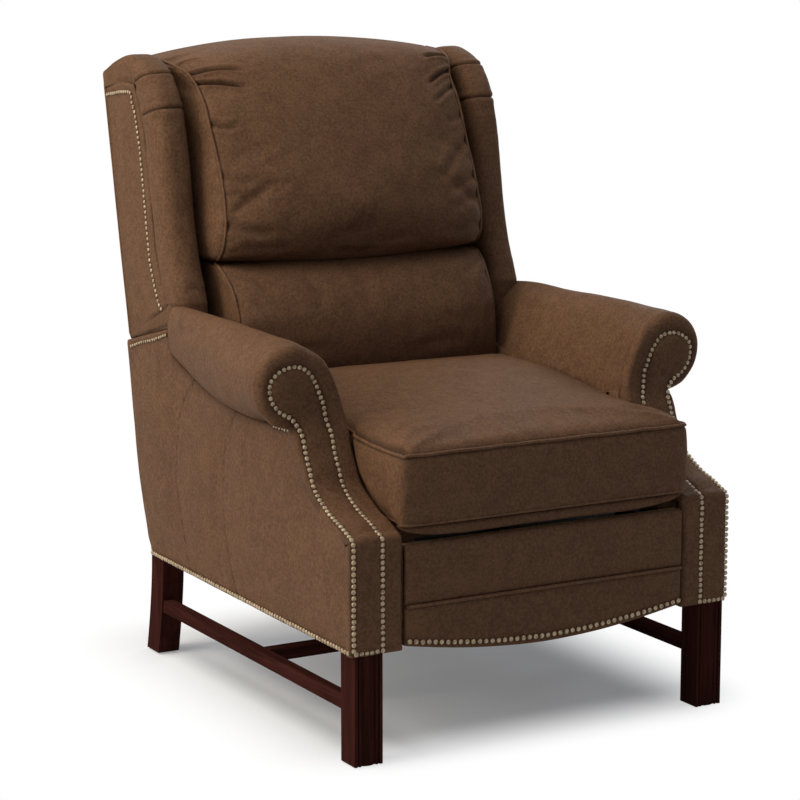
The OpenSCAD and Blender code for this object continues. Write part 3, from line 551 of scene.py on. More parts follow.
def nailTree():
    tree, b = geometryTree("nailRow", [
        ("Pitch", "NodeSocketFloat", 0.009), ("Head Width", "NodeSocketFloat", 0.008),
        ("Head Height", "NodeSocketFloat", 0.0025), ("Scatter", "NodeSocketFloat", 0.0003),
        ("Seed", "NodeSocketInt", 7), ("Finish", "NodeSocketMaterial", None)])
    given = b.node("NodeGroupInput", out="Line")
    row = b.node("GeometryNodeMeshToCurve", {"Mesh": given})
    row = b.node("GeometryNodeResampleCurve", {"Curve": row, "Length": given.other("Pitch")}, mode="LENGTH")
    dots = b.node("GeometryNodeCurveToPoints", {"Curve": row}, mode="EVALUATED")
    head = b.node("GeometryNodeMeshUVSphere", {"Segments": 10, "Rings": 6, "Radius": 0.5})
    size = b.node("ShaderNodeCombineXYZ", {0: given.other("Head Width"), 1: given.other("Head Width"),
                                           2: 2 * given.other("Head Height")})
    head = b.node("GeometryNodeTransform", {"Geometry": head, "Scale": size})
    aim = b.node("GeometryNodeInputNamedAttribute", {"Name": "aim"}, data_type="FLOAT_VECTOR")
    turn = b.node("FunctionNodeAlignRotationToVector", {"Vector": aim}, axis="Z")
    jog = b.node("FunctionNodeRandomValue", {0: (-1.0, -1.0, -1.0), 1: (1.0, 1.0, 1.0),
                                             "Seed": given.other("Seed")}, data_type="FLOAT_VECTOR")
    jog = b.node("ShaderNodeVectorMath", {0: jog, 3: given.other("Scatter")}, operation="SCALE")
    dots = b.node("GeometryNodeSetPosition", {"Geometry": dots, "Offset": jog})
    grow = b.node("GeometryNodeInputNamedAttribute", {"Name": "grow"}, data_type="FLOAT")
    heads = b.node("GeometryNodeInstanceOnPoints", {"Points": dots, "Instance": head, "Rotation": turn,
                                                    "Scale": grow})
    heads = b.node("GeometryNodeRealizeInstances", {"Geometry": heads})
    heads = b.node("GeometryNodeSetShadeSmooth", {"Geometry": heads})
    heads = b.node("GeometryNodeSetMaterial", {"Geometry": heads, "Material": given.other("Finish")})
    b.node("NodeGroupOutput", {0: heads})
    return tree


def weltTree():
    tree, b = geometryTree("weltCord", [("Width", "NodeSocketFloat", 0.005), ("Facets", "NodeSocketInt", 10),
                                        ("Finish", "NodeSocketMaterial", None)])
    given = b.node("NodeGroupInput", out="Line")
    row = b.node("GeometryNodeMeshToCurve", {"Mesh": given})
    row = b.node("GeometryNodeResampleCurve", {"Curve": row, "Length": given.other("Width")}, mode="LENGTH")
    ring = b.node("GeometryNodeCurvePrimitiveCircle", {"Resolution": given.other("Facets"),
                                                       "Radius": given.other("Width") * 0.5})
    cord = b.node("GeometryNodeCurveToMesh", {"Curve": row, "Profile Curve": ring, "Fill Caps": True})
    cord = b.node("GeometryNodeRealizeInstances", {"Geometry": cord})
    cord = b.node("GeometryNodeSetShadeSmooth", {"Geometry": cord})
    cord = b.node("GeometryNodeSetMaterial", {"Geometry": cord, "Material": given.other("Finish")})
    b.node("NodeGroupOutput", {0: cord})
    return tree


trees = {"nails": nailTree(), "welt": weltTree()}


def fromLines(name, lines, tree, finish, body, inputs):
    # lines are (points, directions or None, closed, size if not 1); one plain mesh comes out
    points, edges, aims, grows = [], [], [], []
    for line, aim, closed, *grow in lines:
        grows += [grow[0] if grow else 1.0] * len(line)
        start = len(points)
        points += chairMetres(line).tolist()
        edges += [(start + i, start + i + 1) for i in range(len(line) - 1)]
        if closed:
            edges.append((start + len(line) - 1, start))
        aims += (np.zeros((len(line), 3)) if aim is None else np.asarray(aim, float)).tolist()
    mesh = bpy.data.meshes.new(name)
    mesh.from_pydata(points, edges, [])
    aimed = mesh.attributes.new("aim", "FLOAT_VECTOR", "POINT").data
    aimed.foreach_set("vector", np.array(aims, np.float32).ravel())
    grown = mesh.attributes.new("grow", "FLOAT", "POINT").data
    grown.foreach_set("value", np.array(grows, np.float32))
    piece = bpy.data.objects.new(name, mesh)
    bpy.context.scene.collection.objects.link(piece)
    maker = piece.modifiers.new("maker", "NODES")
    maker.node_group = trees[tree]
    named = {s.name: s.identifier for s in trees[tree].interface.items_tree if s.in_out == "INPUT"}
    for label, value in inputs.items():
        maker[named[label]] = value
    maker[named["Finish"]] = finishes[finish]
    makePlain(piece)
    if not piece.data.materials:
        piece.data.materials.append(finishes[finish])
    faceOutwards(piece.data)
    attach(piece, body)


nailLines = {"base": [], "back": [], "footrest": []}
weltLines = {"back": [], "seat": [], "footrest": []}


# Arm fronts: the facing runs up the post, along the swan neck and up the scroll

armFront = {
    "swan": [(0, 346), (0.6, 351), (3.2, 355), (10, 359), (34.8, 370.2), (62.6, 378.7), (81.8, 387.2),
             (102.7, 398.1), (120, 408.9), (131.4, 420.6), (140.9, 436.8), (154.9, 460.9), (163.6, 482.6),
             (170.5, 501.2), (173.6, 521.3), (174, 545)],
    "neck": [(1, 0), (1.0, 0.13), (1.035, 0.235), (1.085, 0.35), (1.105, 0.42), (1.115, 0.475)],
    "scroll": [(1.09, 0.525), (1.225, 0.532), (1.415, 0.553), (1.595, 0.6), (1.72, 0.665), (1.775, 0.75),
               (1.755, 0.83), (1.64, 0.905), (1.44, 0.963), (1.18, 0.996), (0.933, 0.998), (0.708, 0.967),
               (0.483, 0.908), (0.35, 0.845), (0.236, 0.77), (0.124, 0.668), (0.045, 0.572), (0, 0.455)],
    "nailsInside": [(293.5, 181), (293.5, 351), (293, 400), (292, 450), (291, 484)],
    "nailsRound": [(291, 484), (292.7, 493.6), (296.9, 511.2), (299.4, 530.2), (306.3, 547.2), (313.1, 564.2),
                   (323.4, 579.8), (337.1, 589.9), (355.9, 591.8), (373, 587.1), (387.6, 575.2),
                   (391.5, 558.1), (386.6, 539.6), (374.4, 524.6), (358.3, 514.6), (349.5, 505),
                   (343, 492.9), (341, 484)],
    "nailsOutside": [(341, 484), (342, 440), (342.8, 400), (342.8, 351), (342.8, 181)],
    "disc": (354, 555, 37), "outerEdge": 346.2, "thick": 17.0, "step": 3.0, "forward": 4.2, "shelfBack": 0.85,
    "tuck": 0.03}


def armSpot(share):
    across = chair["seatSide"] + share[0] * (chair["armSide"] - chair["seatSide"])
    return across, chair["postTop"] + share[1] * (chair["armTop"] - chair["postTop"])


sideView = np.vstack([[(0, 165), (0, 250), (0, 340)], through(armFront["swan"], 2.5), [(174, 640)]])
sideRun = lengthsOf(sideView)
scrollLine = through([armSpot(s) for s in armFront["scroll"]], 3)


def tucked(line, share=1.0):
    # the scroll's outline where it meets the roll, drawn in towards the nails except at its inner side
    p = np.array(line, float)
    weight = share * armFront["tuck"] * smooth(292, 325, p[:, 0]) * smooth(498, 520, p[:, 1])
    return p + (np.array(armFront["disc"][:2]) - p) * weight[:, None]


def runAt(z):
    return np.interp(z, sideView[:, 1], sideRun)


def frontPlace(flat):
    # across and run along the side view line, to a spot and an outward direction
    d, z = (np.interp(flat[:, 1], sideRun, sideView[:, k]) for k in (0, 1))
    ahead = [np.interp(flat[:, 1] + 3, sideRun, line) - np.interp(flat[:, 1] - 3, sideRun, line)
             for line in sideView.T]
    size = np.hypot(*ahead)
    out = np.column_stack([np.zeros(len(flat)), -ahead[1] / size, ahead[0] / size])
    return np.column_stack([flat[:, 0], d, z]), out


def swanTop(d):
    return np.interp(d, sideView[3:, 0], sideView[3:, 1], right=700)


nailLoop = np.vstack([through(armFront["nailsInside"], 4)[:-1], through(armFront["nailsRound"], 3)[:-1],
                      through(armFront["nailsOutside"], 4), [(342.8, 181), (293.5, 181)]])
nailLoop = np.column_stack([nailLoop[:, 0], runAt(nailLoop[:, 1])])


def shelfAt(z):
    # 1 on the flat top of the post, where the facing hardly stands out
    return smooth(352, 362, z) * smooth(430, 396, z)


def mixed(share, first, second):
    return first + (second - first) * share


def frontRise(flat, gap):
    z = np.interp(flat[:, 1], sideRun, sideView[:, 1])
    x = flat[:, 0]
    scroll = smooth(466, 500, z)
    # how wide and how deep the edge is rounded: on the post, round the scroll and at the lower end
    outer, inner = smooth(285, 325, x), 1 - smooth(290, 318, x)
    low = 1 - smooth(chair["leatherLow"] + 4, chair["leatherLow"] + 22, z)
    width = mixed(low, mixed(scroll, mixed(outer, 6.5, 3.2), mixed(inner, 22, 6)), 2.5)
    drop = mixed(low, mixed(scroll, mixed(outer, 5.2, 2.6), mixed(inner, 13.5, 5)), 1.5)
    rise = rounded(gap, width, drop)
    nailGap, _ = nearest(flat, nailLoop)
    bandLow, bandHigh = 294, 342.5
    band = np.clip((x - bandLow) / (bandHigh - bandLow), 0, 1)
    post = 1 - smooth(470, 492, z)
    rise += post * 1.5 * (1 - (2 * band - 1) ** 2) * ((x > bandLow) & (x < bandHigh))
    cx, cz, radius = armFront["disc"]
    away = np.hypot(x - cx, z - cz) / radius
    rise += 4.2 * np.sqrt(np.clip(1 - away ** 2, 0, 1)) * smooth(508, 522, z)
    rise += 1.6 * scroll * smooth(4, 12, nailGap) * (away > 1)
    rise -= 2.1 * bell(nailGap, 4.2)
    spot = np.column_stack([x, flat[:, 1], np.zeros(len(x))])
    rise += 0.5 * softNoise(spot, 42, 3) + 0.22 * softNoise(spot, 15, 4)
    pulls = 0.5 * softNoise(spot * (3.2, 3.2, 1), 26, 8) * bell(nailGap - 6, 6)
    # painted shade along the nail line, and in a broad band outside the nails round the scroll
    foldShade = 0.7 * bell(nailGap, 5) + 0.28 * scroll * bell(nailGap - 9, 9) * (away > 1)
    forward = armFront["forward"] * (1 - 0.4 * scroll - armFront["shelfBack"] * shelfAt(z))
    return rise + pulls + forward * smooth(0, 7, gap), foldShade


def makeArmFront(sideName):
    side = sides[sideName]
    inner, outer = chair["seatSide"], armFront["outerEdge"]
    low = chair["leatherLow"]
    neck = [(armSpot(s)[0] - 1.0, armSpot(s)[1]) for s in armFront["neck"][1:]]
    edge = np.vstack([evenly([(outer, low), (outer, chair["postTop"])], 3), evenly(neck, 3),
                      tucked(scrollLine, 0.85),
                      evenly([(inner, armSpot((0, 0.455))[1] - 3), (inner, low)], 3),
                      evenly([(inner + 3, low), (outer - 3, low)], 3)])
    edge = np.column_stack([edge[:, 0], runAt(edge[:, 1])])

    def place(flat):
        spot, out = frontPlace(flat)
        return mirrored(spot, side), out

    piece = panelPiece(sideName + "ArmFacing", edge, armFront["step"], place, frontRise, armFront["thick"])
    declare(piece, "base", sideName + "_arm_front")
    spot, out = frontPlace(nailLoop)
    z = spot[:, 2]
    lift = armFront["forward"] * (1 - armFront["shelfBack"] * shelfAt(z)) - 1.2 - 1.6 * smooth(466, 500, z)
    nailLines["base"].append((mirrored(spot + out * lift[:, None], side), mirrored(out, side), True))


for sideName in sides:
    makeArmFront(sideName)
print("arm fronts made")


# Arm pads: the roll runs back from the scroll over the inner lining

armPad = {"front": 186.2, "low": 345, "boardSide": 324, "creaseLow": 489, "narrow": 0.74, "lift": 0.42,
          "ringStep": 4.0, "closeRing": 0.0011, "rearRound": 6}


def creaseAt(t):
    return (armPad["creaseLow"] + 56 * np.clip((t - 0.33) / 0.67, 0, 1) ** 1.8
            + 8 * np.clip(1 - t / 0.33, 0, 1) ** 2)


def padRing(t):
    # one ring of the pad, at a share of its length, and the index where the roll starts
    z0 = creaseAt(t) + 0.3
    low, board = armPad["low"], armPad["boardSide"] - 0.3
    weight = np.clip(((scrollLine[:, 0] - 257) / 89 - 0.7) / 0.3, 0, 1) * t
    roll = np.column_stack([scrollLine[:, 0] - weight * armPad["narrow"] * (scrollLine[:, 0] - 324),
                            scrollLine[:, 1] + weight * armPad["lift"] * (628 - scrollLine[:, 1])])
    widest = int(np.argmax(roll[:, 0]))
    a = np.linspace(0, math.pi / 2, widest + 1)
    under = np.column_stack([341 - 2 * t + (roll[widest, 0] - 341 + 2 * t) * np.sin(a),
                             roll[widest, 1] - (roll[widest, 1] - z0) * np.cos(a)])
    share = smooth(0, 0.22, t)
    roll[:widest + 1] += (under - roll[:widest + 1]) * share
    roll[:, 1] = np.maximum(roll[:, 1], z0)
    start = np.vstack([evenly([(257, low), (board, low)], 14)[:-1], evenly([(board, low), (board, z0)], 14)[:-1],
                       [(board, z0), (335, z0)]])
    return np.vstack([start, roll, evenly([(257, 478), (257, low)], 5)[:-1]]), len(start)


def makeArmPad(sideName):
    side = sides[sideName]
    length = chair["armRear"] - armPad["front"]
    ts = np.linspace(0, 1, int(length / armPad["ringStep"]) + 1)
    ts = np.insert(ts, 1, armPad["closeRing"])          # a close second ring keeps the rim's shading narrow
    rings, seen, along = [], [], []
    for t in ts:
        ring, first = padRing(t)
        d = armPad["front"] + t * length
        rings.append(np.column_stack([ring[:, 0], np.full(len(ring), d), ring[:, 1]]))
        shown = np.zeros(len(ring))
        shown[first + 4:] = 1
        seen.append(shown)
        along.append(np.concatenate([np.zeros(first), lengthsOf(ring[first:])]))
    last = rings[-1]
    for k in (1, 2, 3, 4):          # the rear end is rounded over
        a = k / 4 * math.pi / 2
        end = last.mean(0) + (last - last.mean(0)) * (1 - 0.32 * (1 - math.cos(a)))
        end[:, 1] = chair["armRear"] - armPad["rearRound"] * (1 - math.sin(a))
        rings.append(end)
        seen.append(np.zeros(len(last)))
        along.append(along[len(ts) - 1])
    points, faces = tube(rings)
    extra = len(points) - sum(len(r) for r in rings)
    shown = np.concatenate(seen + [np.zeros(extra)])
    run = np.concatenate(along + [np.zeros(extra)])
    piece = makeMesh(sideName + "ArmPad", mirrored(points, side), faces, "leather")
    p = spots(piece)
    drawn = np.column_stack([np.abs(p[:, 0]), p[:, 2]])
    drawn = (tucked(drawn) - drawn) * ((1 - smooth(0, 26, p[:, 1] - armPad["front"])) * shown)[:, None]
    p[:, 0] += drawn[:, 0] * side
    p[:, 2] += drawn[:, 1]
    setSpots(piece, p)
    t = np.clip((p[:, 1] - armPad["front"]) / length, 0, 1)
    rise = (1.7 * softNoise(p, 120, 2) + 0.8 * softNoise(p, 46, 5) + 0.25 * softNoise(p, 17, 6)) * shown
    rise *= smooth(0, 0.04, t)
    where = np.column_stack([p[:, 1], run])
    strokes = [([(205, 250), (232, 300), (246, 350)], 1.6, 7), ([(600, 120), (560, 210), (570, 300)], 2.2, 10),
               ([(585, 60), (540, 90), (470, 110)], 2.0, 9), ([(630, 250), (590, 300), (540, 330)], 2.4, 9),
               ([(300, 330), (360, 352), (430, 345)], 1.4, 8)]
    more, foldShade = creases(where, strokes)
    top = smooth(470, 500, p[:, 2])
    rise = rise + more * shown + 2.6 * smooth(590, 620, p[:, 2]) * smooth(0.1, 0.45, t) * smooth(1, 0.85, t)
    # painted shade, at half strength, along the creases and in the hollow under the roll
    under = (1 - smooth(creaseAt(t), creaseAt(t) + 14, p[:, 2])) * (np.abs(p[:, 0]) > 300)
    foldShade = foldShade * 0.5 * shown + 0.5 * under
    press(piece, rise * (0.35 + 0.65 * top), foldShade)
    declare(piece, "base", sideName + "_arm_pad")


for sideName in sides:
    makeArmPad(sideName)
print("arm pads made")


# Outer arm panels: tapered leather with two upright seams and three nail rows

outerPanel = {
    "front": 1.2, "taper": 8.5, "straighter": 5.0, "step": 6.0, "thick": 5.0,
    "seams": [[(548, 540), (548, 514), (601, 459), (627, 349), (614, 278), (577, 175)],
              [(372, 510), (385, 489), (427, 429), (444, 346), (432, 258), (392, 175)]],
    "topRear": (826.5, 544.5), "lowNails": 181.5, "nailSize": 0.68, "lowNailSize": 0.95,
    "underRollNails": [(184, 488.5), (214, 488.5), (250, 488)],
    "breakNails": [(656, 576), (700, 563), (760, 549), (803, 537)],
    # how far the leather stands out behind the frame's straight rear line, up its height
    "bow": ((175, 190, 204, 235, 268, 302, 336, 371, 440, 510, 560),
            (-4, -2, 7, 10.5, 15, 17.5, 15.5, 13, 7.5, 2, 0))}


def rearBulge(z):
    return np.interp(z, *outerPanel["bow"])


def breakAt(d):
    # the sloping upper edge behind the arm pad
    return 590 - (d - 640) * 0.245


def panelAcross(d, z):
    taper = outerPanel["taper"] - outerPanel["straighter"] * smooth(200, 560, z)
    return 346 - taper * np.clip(d / chair["baseDeep"], 0, 1.1) ** 1.1


def panelPlace(flat, side):
    lean = outerPanel["taper"] / chair["baseDeep"]
    out = np.array([side, lean, 0.0])
    spot = np.column_stack([side * panelAcross(flat[:, 0], flat[:, 1]), flat[:, 0], flat[:, 1]])
    return spot, np.tile(out / np.linalg.norm(out), (len(flat), 1))


def makeOuterPanel(sideName):
    side = sides[sideName]
    low = chair["leatherLow"]
    topRear = outerPanel["topRear"]
    length = chair["armRear"] - armPad["front"]
    crease = [(armPad["front"] + t * length, float(creaseAt(t)) - 0.5) for t in np.linspace(1, 0, 24)]
    front = [(d + outerPanel["front"] * 0.8, z - 0.4) for d, z in sideView[::-1] if 181 < z < 494]
    edge = np.vstack([evenly([(outerPanel["front"], low), (rearAt(low), low)], 6)[:-1],
                      evenly([(rearAt(z) + rearBulge(z) - 0.4, z)
                              for z in np.linspace(low, topRear[1], 40)], 6)[:-1],
                      evenly([topRear, (652, breakAt(652))], 6)[:-1],
                      evenly(crease, 6)[:-1], front])

    def rise(flat, gap):
        height = rounded(gap, 5, 3.0)
        puff = 3.2 * smooth(0, 90, gap)
        # painted shade is marked along the seams, the nail rows, the creases and below the roll's crease
        foldShade = np.zeros(len(flat))
        for seam in outerPanel["seams"]:
            line = through(seam, 6)
            near, _ = nearest(flat, line)
            lineD = np.interp(flat[:, 1], line[::-1, 1], line[::-1, 0])
            height += 0.7 * bell(near - 3.6, 2.6) * (flat[:, 0] > lineD)
            height -= 0.9 * bell(near, 1.7)
            puff = np.minimum(puff, 3.2 * smooth(-10, 70, near))
            foldShade += 0.6 * bell(near, 1.9)
        spot = np.column_stack([flat[:, 0], flat[:, 1], np.zeros(len(flat))])
        height += puff + 1.1 * softNoise(spot, 110, 11) + 0.4 * softNoise(spot, 34, 12)
        low = flat[:, 1] - outerPanel["lowNails"]
        height -= 1.3 * bell(low, 3.4)
        foldShade += 0.6 * bell(low, 4.5)
        for row in (outerPanel["breakNails"], outerPanel["underRollNails"]):
            near, _ = nearest(flat, np.array(row, float))
            height -= 1.3 * bell(near, 4)
            foldShade += 0.6 * bell(near, 5)
        under = 1 - smooth(0, 26, np.interp(flat[:, 0], [c[0] for c in crease[::-1]],
                                            [c[1] for c in crease[::-1]], right=2000) - flat[:, 1])
        more, marks = creases(flat, [([(196, 478), (240, 440), (262, 390)], 1.2, 7),
                                     ([(330, 470), (346, 430), (340, 380)], 0.9, 7),
                                     ([(690, 548), (672, 500), (680, 450)], 1.1, 8)])
        return height + more, np.clip(foldShade + 0.5 * under + 0.4 * marks, 0, 1)

    piece = panelPiece(sideName + "OuterPanel", edge, outerPanel["step"],
                       lambda flat: panelPlace(flat, side), rise, outerPanel["thick"])
    declare(piece, "base", sideName + "_outer_panel")
    lowRow = [(8, outerPanel["lowNails"]), (738, outerPanel["lowNails"])]
    for row, size in ((lowRow, outerPanel["lowNailSize"]), (outerPanel["breakNails"], outerPanel["nailSize"]),
                      (outerPanel["underRollNails"], outerPanel["nailSize"])):
        spot, out = panelPlace(evenly(row, 8), side)
        nailLines["base"].append((spot + out * 1.3, out, False, size))


for sideName in sides:
    makeOuterPanel(sideName)
print("outer panels made")


# Wings: a rolled front edge with two cap seams, and a flat outside with its nail row

wing = {
    "front": 608, "deep": 307, "low": 623, "high": 1039.5, "inside": 277, "wide": 59.8, "taper": -2.4,
    "power": 0.7, "squarer": 0.4, "ringStep": 2.6, "around": 60, "lead": 12,
    "strip": ((0, 0.15, 0.5, 0.8, 1), (22, 17, 13, 11, 10)),
    "rest": ((270, 277, 288, 300, 320, 332), (555, 567.5, 588, 604, 620.5, 631)),
    "foldShade": [(1036, 800), (1019, 815), (988, 777), (938, 753)],
    "lines": [((0.01, 0.024), (0.305, 0.0)), ((0.035, 0.07), (0.335, 0.04)), ((0.10, 0.19), (0.41, 0.165)),
              ((0.155, 0.33), (0.45, 0.315)), ((0.19, 0.475), (0.485, 0.465)), ((0.222, 0.62), (0.52, 0.61)),
              ((0.265, 0.748), (0.555, 0.70)), ((0.33, 0.855), (0.59, 0.774)), ((0.44, 0.938), (0.617, 0.802)),
              ((0.575, 0.984), (0.64, 0.843)), ((0.705, 0.998), (0.75, 0.843)), ((0.86, 0.968), (0.86, 0.834)),
              ((1.0, 0.926), (0.965, 0.824))],
    "capSeams": [955, 1012], "seamRears": [775, 802],
    "creases": [([(285, 700), (300, 735), (318, 760)], 1.2, 6), ([(335, 660), (322, 690), (318, 730)], 1.3, 7),
                ([(290, 840), (305, 862), (330, 872)], 1.0, 7), ([(282, 640), (300, 655), (330, 650)], 1.6, 6),
                ([(288, 925), (306, 932), (330, 927)], 0.9, 6)]}


def wingSpot(share):
    return wing["front"] + share[0] * wing["deep"], wing["low"] + share[1] * (wing["high"] - wing["low"])


wingFront = through([wingSpot(pair[0]) for pair in wing["lines"]], 1)
wingNails = through([wingSpot(pair[1]) for pair in wing["lines"]], 1)


def wingLines():
    # the front line of the roll and its rear edge, a strip ahead of the nail row
    count = int(lengthsOf(wingFront)[-1] / wing["ringStep"])
    front, nails = (evenly(line, lengthsOf(line)[-1] / count) for line in (wingFront, wingNails))
    way = front - nails
    way /= np.linalg.norm(way, axis=1)[:, None]
    share = np.linspace(0, 1, count + 1)
    rear = nails + way * np.interp(share, *wing["strip"])[:, None]
    # rings follow the cap seams, whose rear ends are given
    pairs = [(0.0, 0.0)] + [(share[np.argmax(front[:, 1] > high)], share[np.argmax(rear[:, 0] > deep)])
                            for high, deep in zip(wing["capSeams"], wing["seamRears"])] + [(1.0, 1.0)]
    at = np.interp(share, *zip(*pairs))
    return front, np.column_stack([np.interp(at, share, rear[:, k]) for k in (0, 1)])


def wingRings(front, rear):
    a = np.linspace(0, 2 * math.pi, wing["around"], endpoint=False)
    rings = []
    for t, ahead, behind in zip(np.linspace(0, 1, len(front)), front, rear):
        power = wing["power"] - wing["squarer"] * smooth(0.72, 1, t)
        across, along = (np.sign(v) * np.abs(v) ** power for v in (np.cos(a), -np.sin(a)))
        middle, half = (ahead + behind) / 2, (ahead - behind) / 2
        width = wing["wide"] - wing["taper"] * t ** 3
        rings.append(np.column_stack([wing["inside"] + width / 2 + width / 2 * across,
                                      middle[0] + half[0] * along, middle[1] + half[1] * along]))
    return rings


def makeWingRoll(sideName):
    side = sides[sideName]
    front, rear = wingLines()
    rings = wingRings(front, rear)
    seamAt = [int(np.argmin(np.abs(front[:, 1] - z) + (front[:, 0] > 800) * 999)) for z in wing["capSeams"]]
    foot = rings[0].copy()          # the foot follows the arm's top
    foot[:, 2] = np.minimum(foot[:, 2], np.interp(foot[:, 0], *wing["rest"]))
    lead = wing["lead"]
    starts = [foot + (rings[0] - foot) * k / lead for k in range(lead)]
    last = rings[-1]
    way = last.mean(0) - rings[-4].mean(0)
    way /= np.linalg.norm(way)
    ends = [last.mean(0) + (last - last.mean(0)) * (1 - 0.12 * (1 - math.cos(a))) + way * 7 * math.sin(a)
            for a in np.linspace(0, math.pi / 2, 5)[1:]]
    rings = starts + rings + ends
    order = np.concatenate([np.full(wing["around"], float(i - lead)) for i in range(len(rings))]
                           + [[-lead, len(rings) - lead]])
    points, faces = tube(rings)
    piece = makeMesh(sideName + "WingRoll", mirrored(points, side), faces, "leather")
    p, outwards = spots(piece), pointing(piece)[:, 0] * side
    outside = smooth(0.55, 0.8, outwards)
    rise = 1.2 * softNoise(p, 90, 14) + 0.6 * softNoise(p, 34, 15) + 0.2 * softNoise(p, 14, 16)
    # painted shade along the cap seams, the roll's rear edge, the line over the top and the creases
    foldShade = np.zeros(len(p))
    onRoll = smooth(-2, 6, order)
    # behind a line over the top the outside lies flush with the skin
    foldZ, foldD = zip(*wing["foldShade"][::-1])
    behind = p[:, 1] - np.interp(p[:, 2], foldZ, foldD)
    ahead = 1 - smooth(-6, 3, behind) * outside
    for at in seamAt:
        away = (order - at) * wing["ringStep"]
        rise += (1.3 * bell(away - 7, 5) + 0.8 * bell(away + 8, 6) - 2.8 * bell(away, 2.0)) * ahead
        foldShade += 1.15 * bell(away, 2.1) * ahead
    gap, _ = nearest(p[:, 1:], rear)
    edge = bell(gap, 3.0) * smooth(0.1, 0.5, outwards) * onRoll
    foldShade += edge
    rise -= 1.4 * edge
    high = smooth(975, 990, p[:, 2]) * outside
    rise -= 2.6 * smooth(-3, 3, behind) * high
    foldShade += 0.8 * bell(behind, 2.2) * high
    flat = np.column_stack([p[:, 0] * side, p[:, 2]])
    forward = smooth(40, -20, p[:, 1] - np.interp(p[:, 2], front[:, 1], front[:, 0]))
    more, marks = creases(flat, wing["creases"])
    press(piece, (rise + more * forward) * onRoll, np.clip(foldShade + 0.5 * marks * forward, 0, 1))
    declare(piece, "back", sideName + "_wing_roll")


wingSkin = {"face": 335.0, "toe": 643, "step": 5.0, "thick": 2.4, "nailSize": 0.82,
            "rearTop": 968, "lowRear": 548,
            "lowFront": (643, 590), "lastNail": (691, 616),
            # the slit over the arm and the crease above it, each with its depth; painted shade lies along both
            "grooves": [([(660, 592), (690, 584), (810, 551)], 1.8),
                        ([(662, 628), (690, 612), (735, 593), (778, 574)], 2.4)]}


def makeWingSkin(sideName):
    side = sides[sideName]
    s = wingSkin
    front, rear = wingLines()
    rear = rear + (front - rear) * 0.12          # it runs on under the roll
    lowRear, rearTop = ((float(rearAt(s[key])) - 2, s[key]) for key in ("lowRear", "rearTop"))
    border = rear[rear[:, 0] < rearTop[0] - 3]
    nails = wingNails[wingNails[:, 0] < rearTop[0] - 4]
    edge = np.vstack([evenly([s["lowFront"], lowRear], 5)[:-1], evenly([lowRear, rearTop], 5)[:-1],
                      evenly([rearTop, border[-1] + (2, 0)], 5)[:-1], evenly(border[::-1], 5)[:-1],
                      evenly([border[0] + (2, 3), (s["toe"] + 8, 633), (s["toe"], 626), s["lowFront"]], 5)[:-1]])
    inset = evenly(np.vstack([[s["lastNail"]], nails[2:]]), 4)

    def place(flat):
        spot = np.column_stack([np.full(len(flat), side * s["face"]), flat[:, 0], flat[:, 1]])
        return spot, np.tile([side, 0.0, 0.0], (len(flat), 1))

    def rise(flat, gap):
        height = rounded(gap, 4, 2.4)
        near, _ = nearest(flat, inset)
        spot = np.column_stack([flat, np.zeros(len(flat))])
        height += 2.2 * smooth(0, 60, gap) + 0.9 * softNoise(spot, 90, 21) + 0.3 * softNoise(spot, 30, 22)
        height -= 1.4 * bell(near, 4)
        # painted shade along the nail row
        foldShade = 0.6 * bell(near, 5)
        for line, depth in s["grooves"]:
            away, share = nearest(flat, through(line, 6))
            shown = smooth(1, 0.4, share)
            height += shown * depth * (0.5 * bell(away - 5, 4) - bell(away, 2.4))
            foldShade += 0.9 * shown * bell(away, 2.4)
        return height, np.clip(foldShade, 0, 1)

    piece = panelPiece(sideName + "WingSkin", edge, s["step"], place, rise, s["thick"])
    declare(piece, "back", sideName + "_wing_skin")
    spot, out = place(inset)
    nailLines["back"].append((spot + out * 0.5, out, False, s["nailSize"]))


for sideName in sides:
    makeWingRoll(sideName)
    makeWingSkin(sideName)
print("wings made")


# Outside back, leaning with the frame, and the skirt below it

outsideBack = {"halfLow": 332, "halfHigh": 336.5, "low": 262, "widens": (545, 553), "high": 1004.5, "round": 22,
               "thick": 6.5, "step": 8.0, "nailInset": 9.0}
leanCos = math.cos(math.radians(chair["backLean"]))


def backPlace(flat):
    # across and height up the leaning rear face
    out = np.array([0.0, leanCos, -leanSlope * leanCos])
    spot = np.column_stack([flat[:, 0], rearAt(flat[:, 1]), flat[:, 1]])
    return spot, np.tile(out, (len(flat), 1))


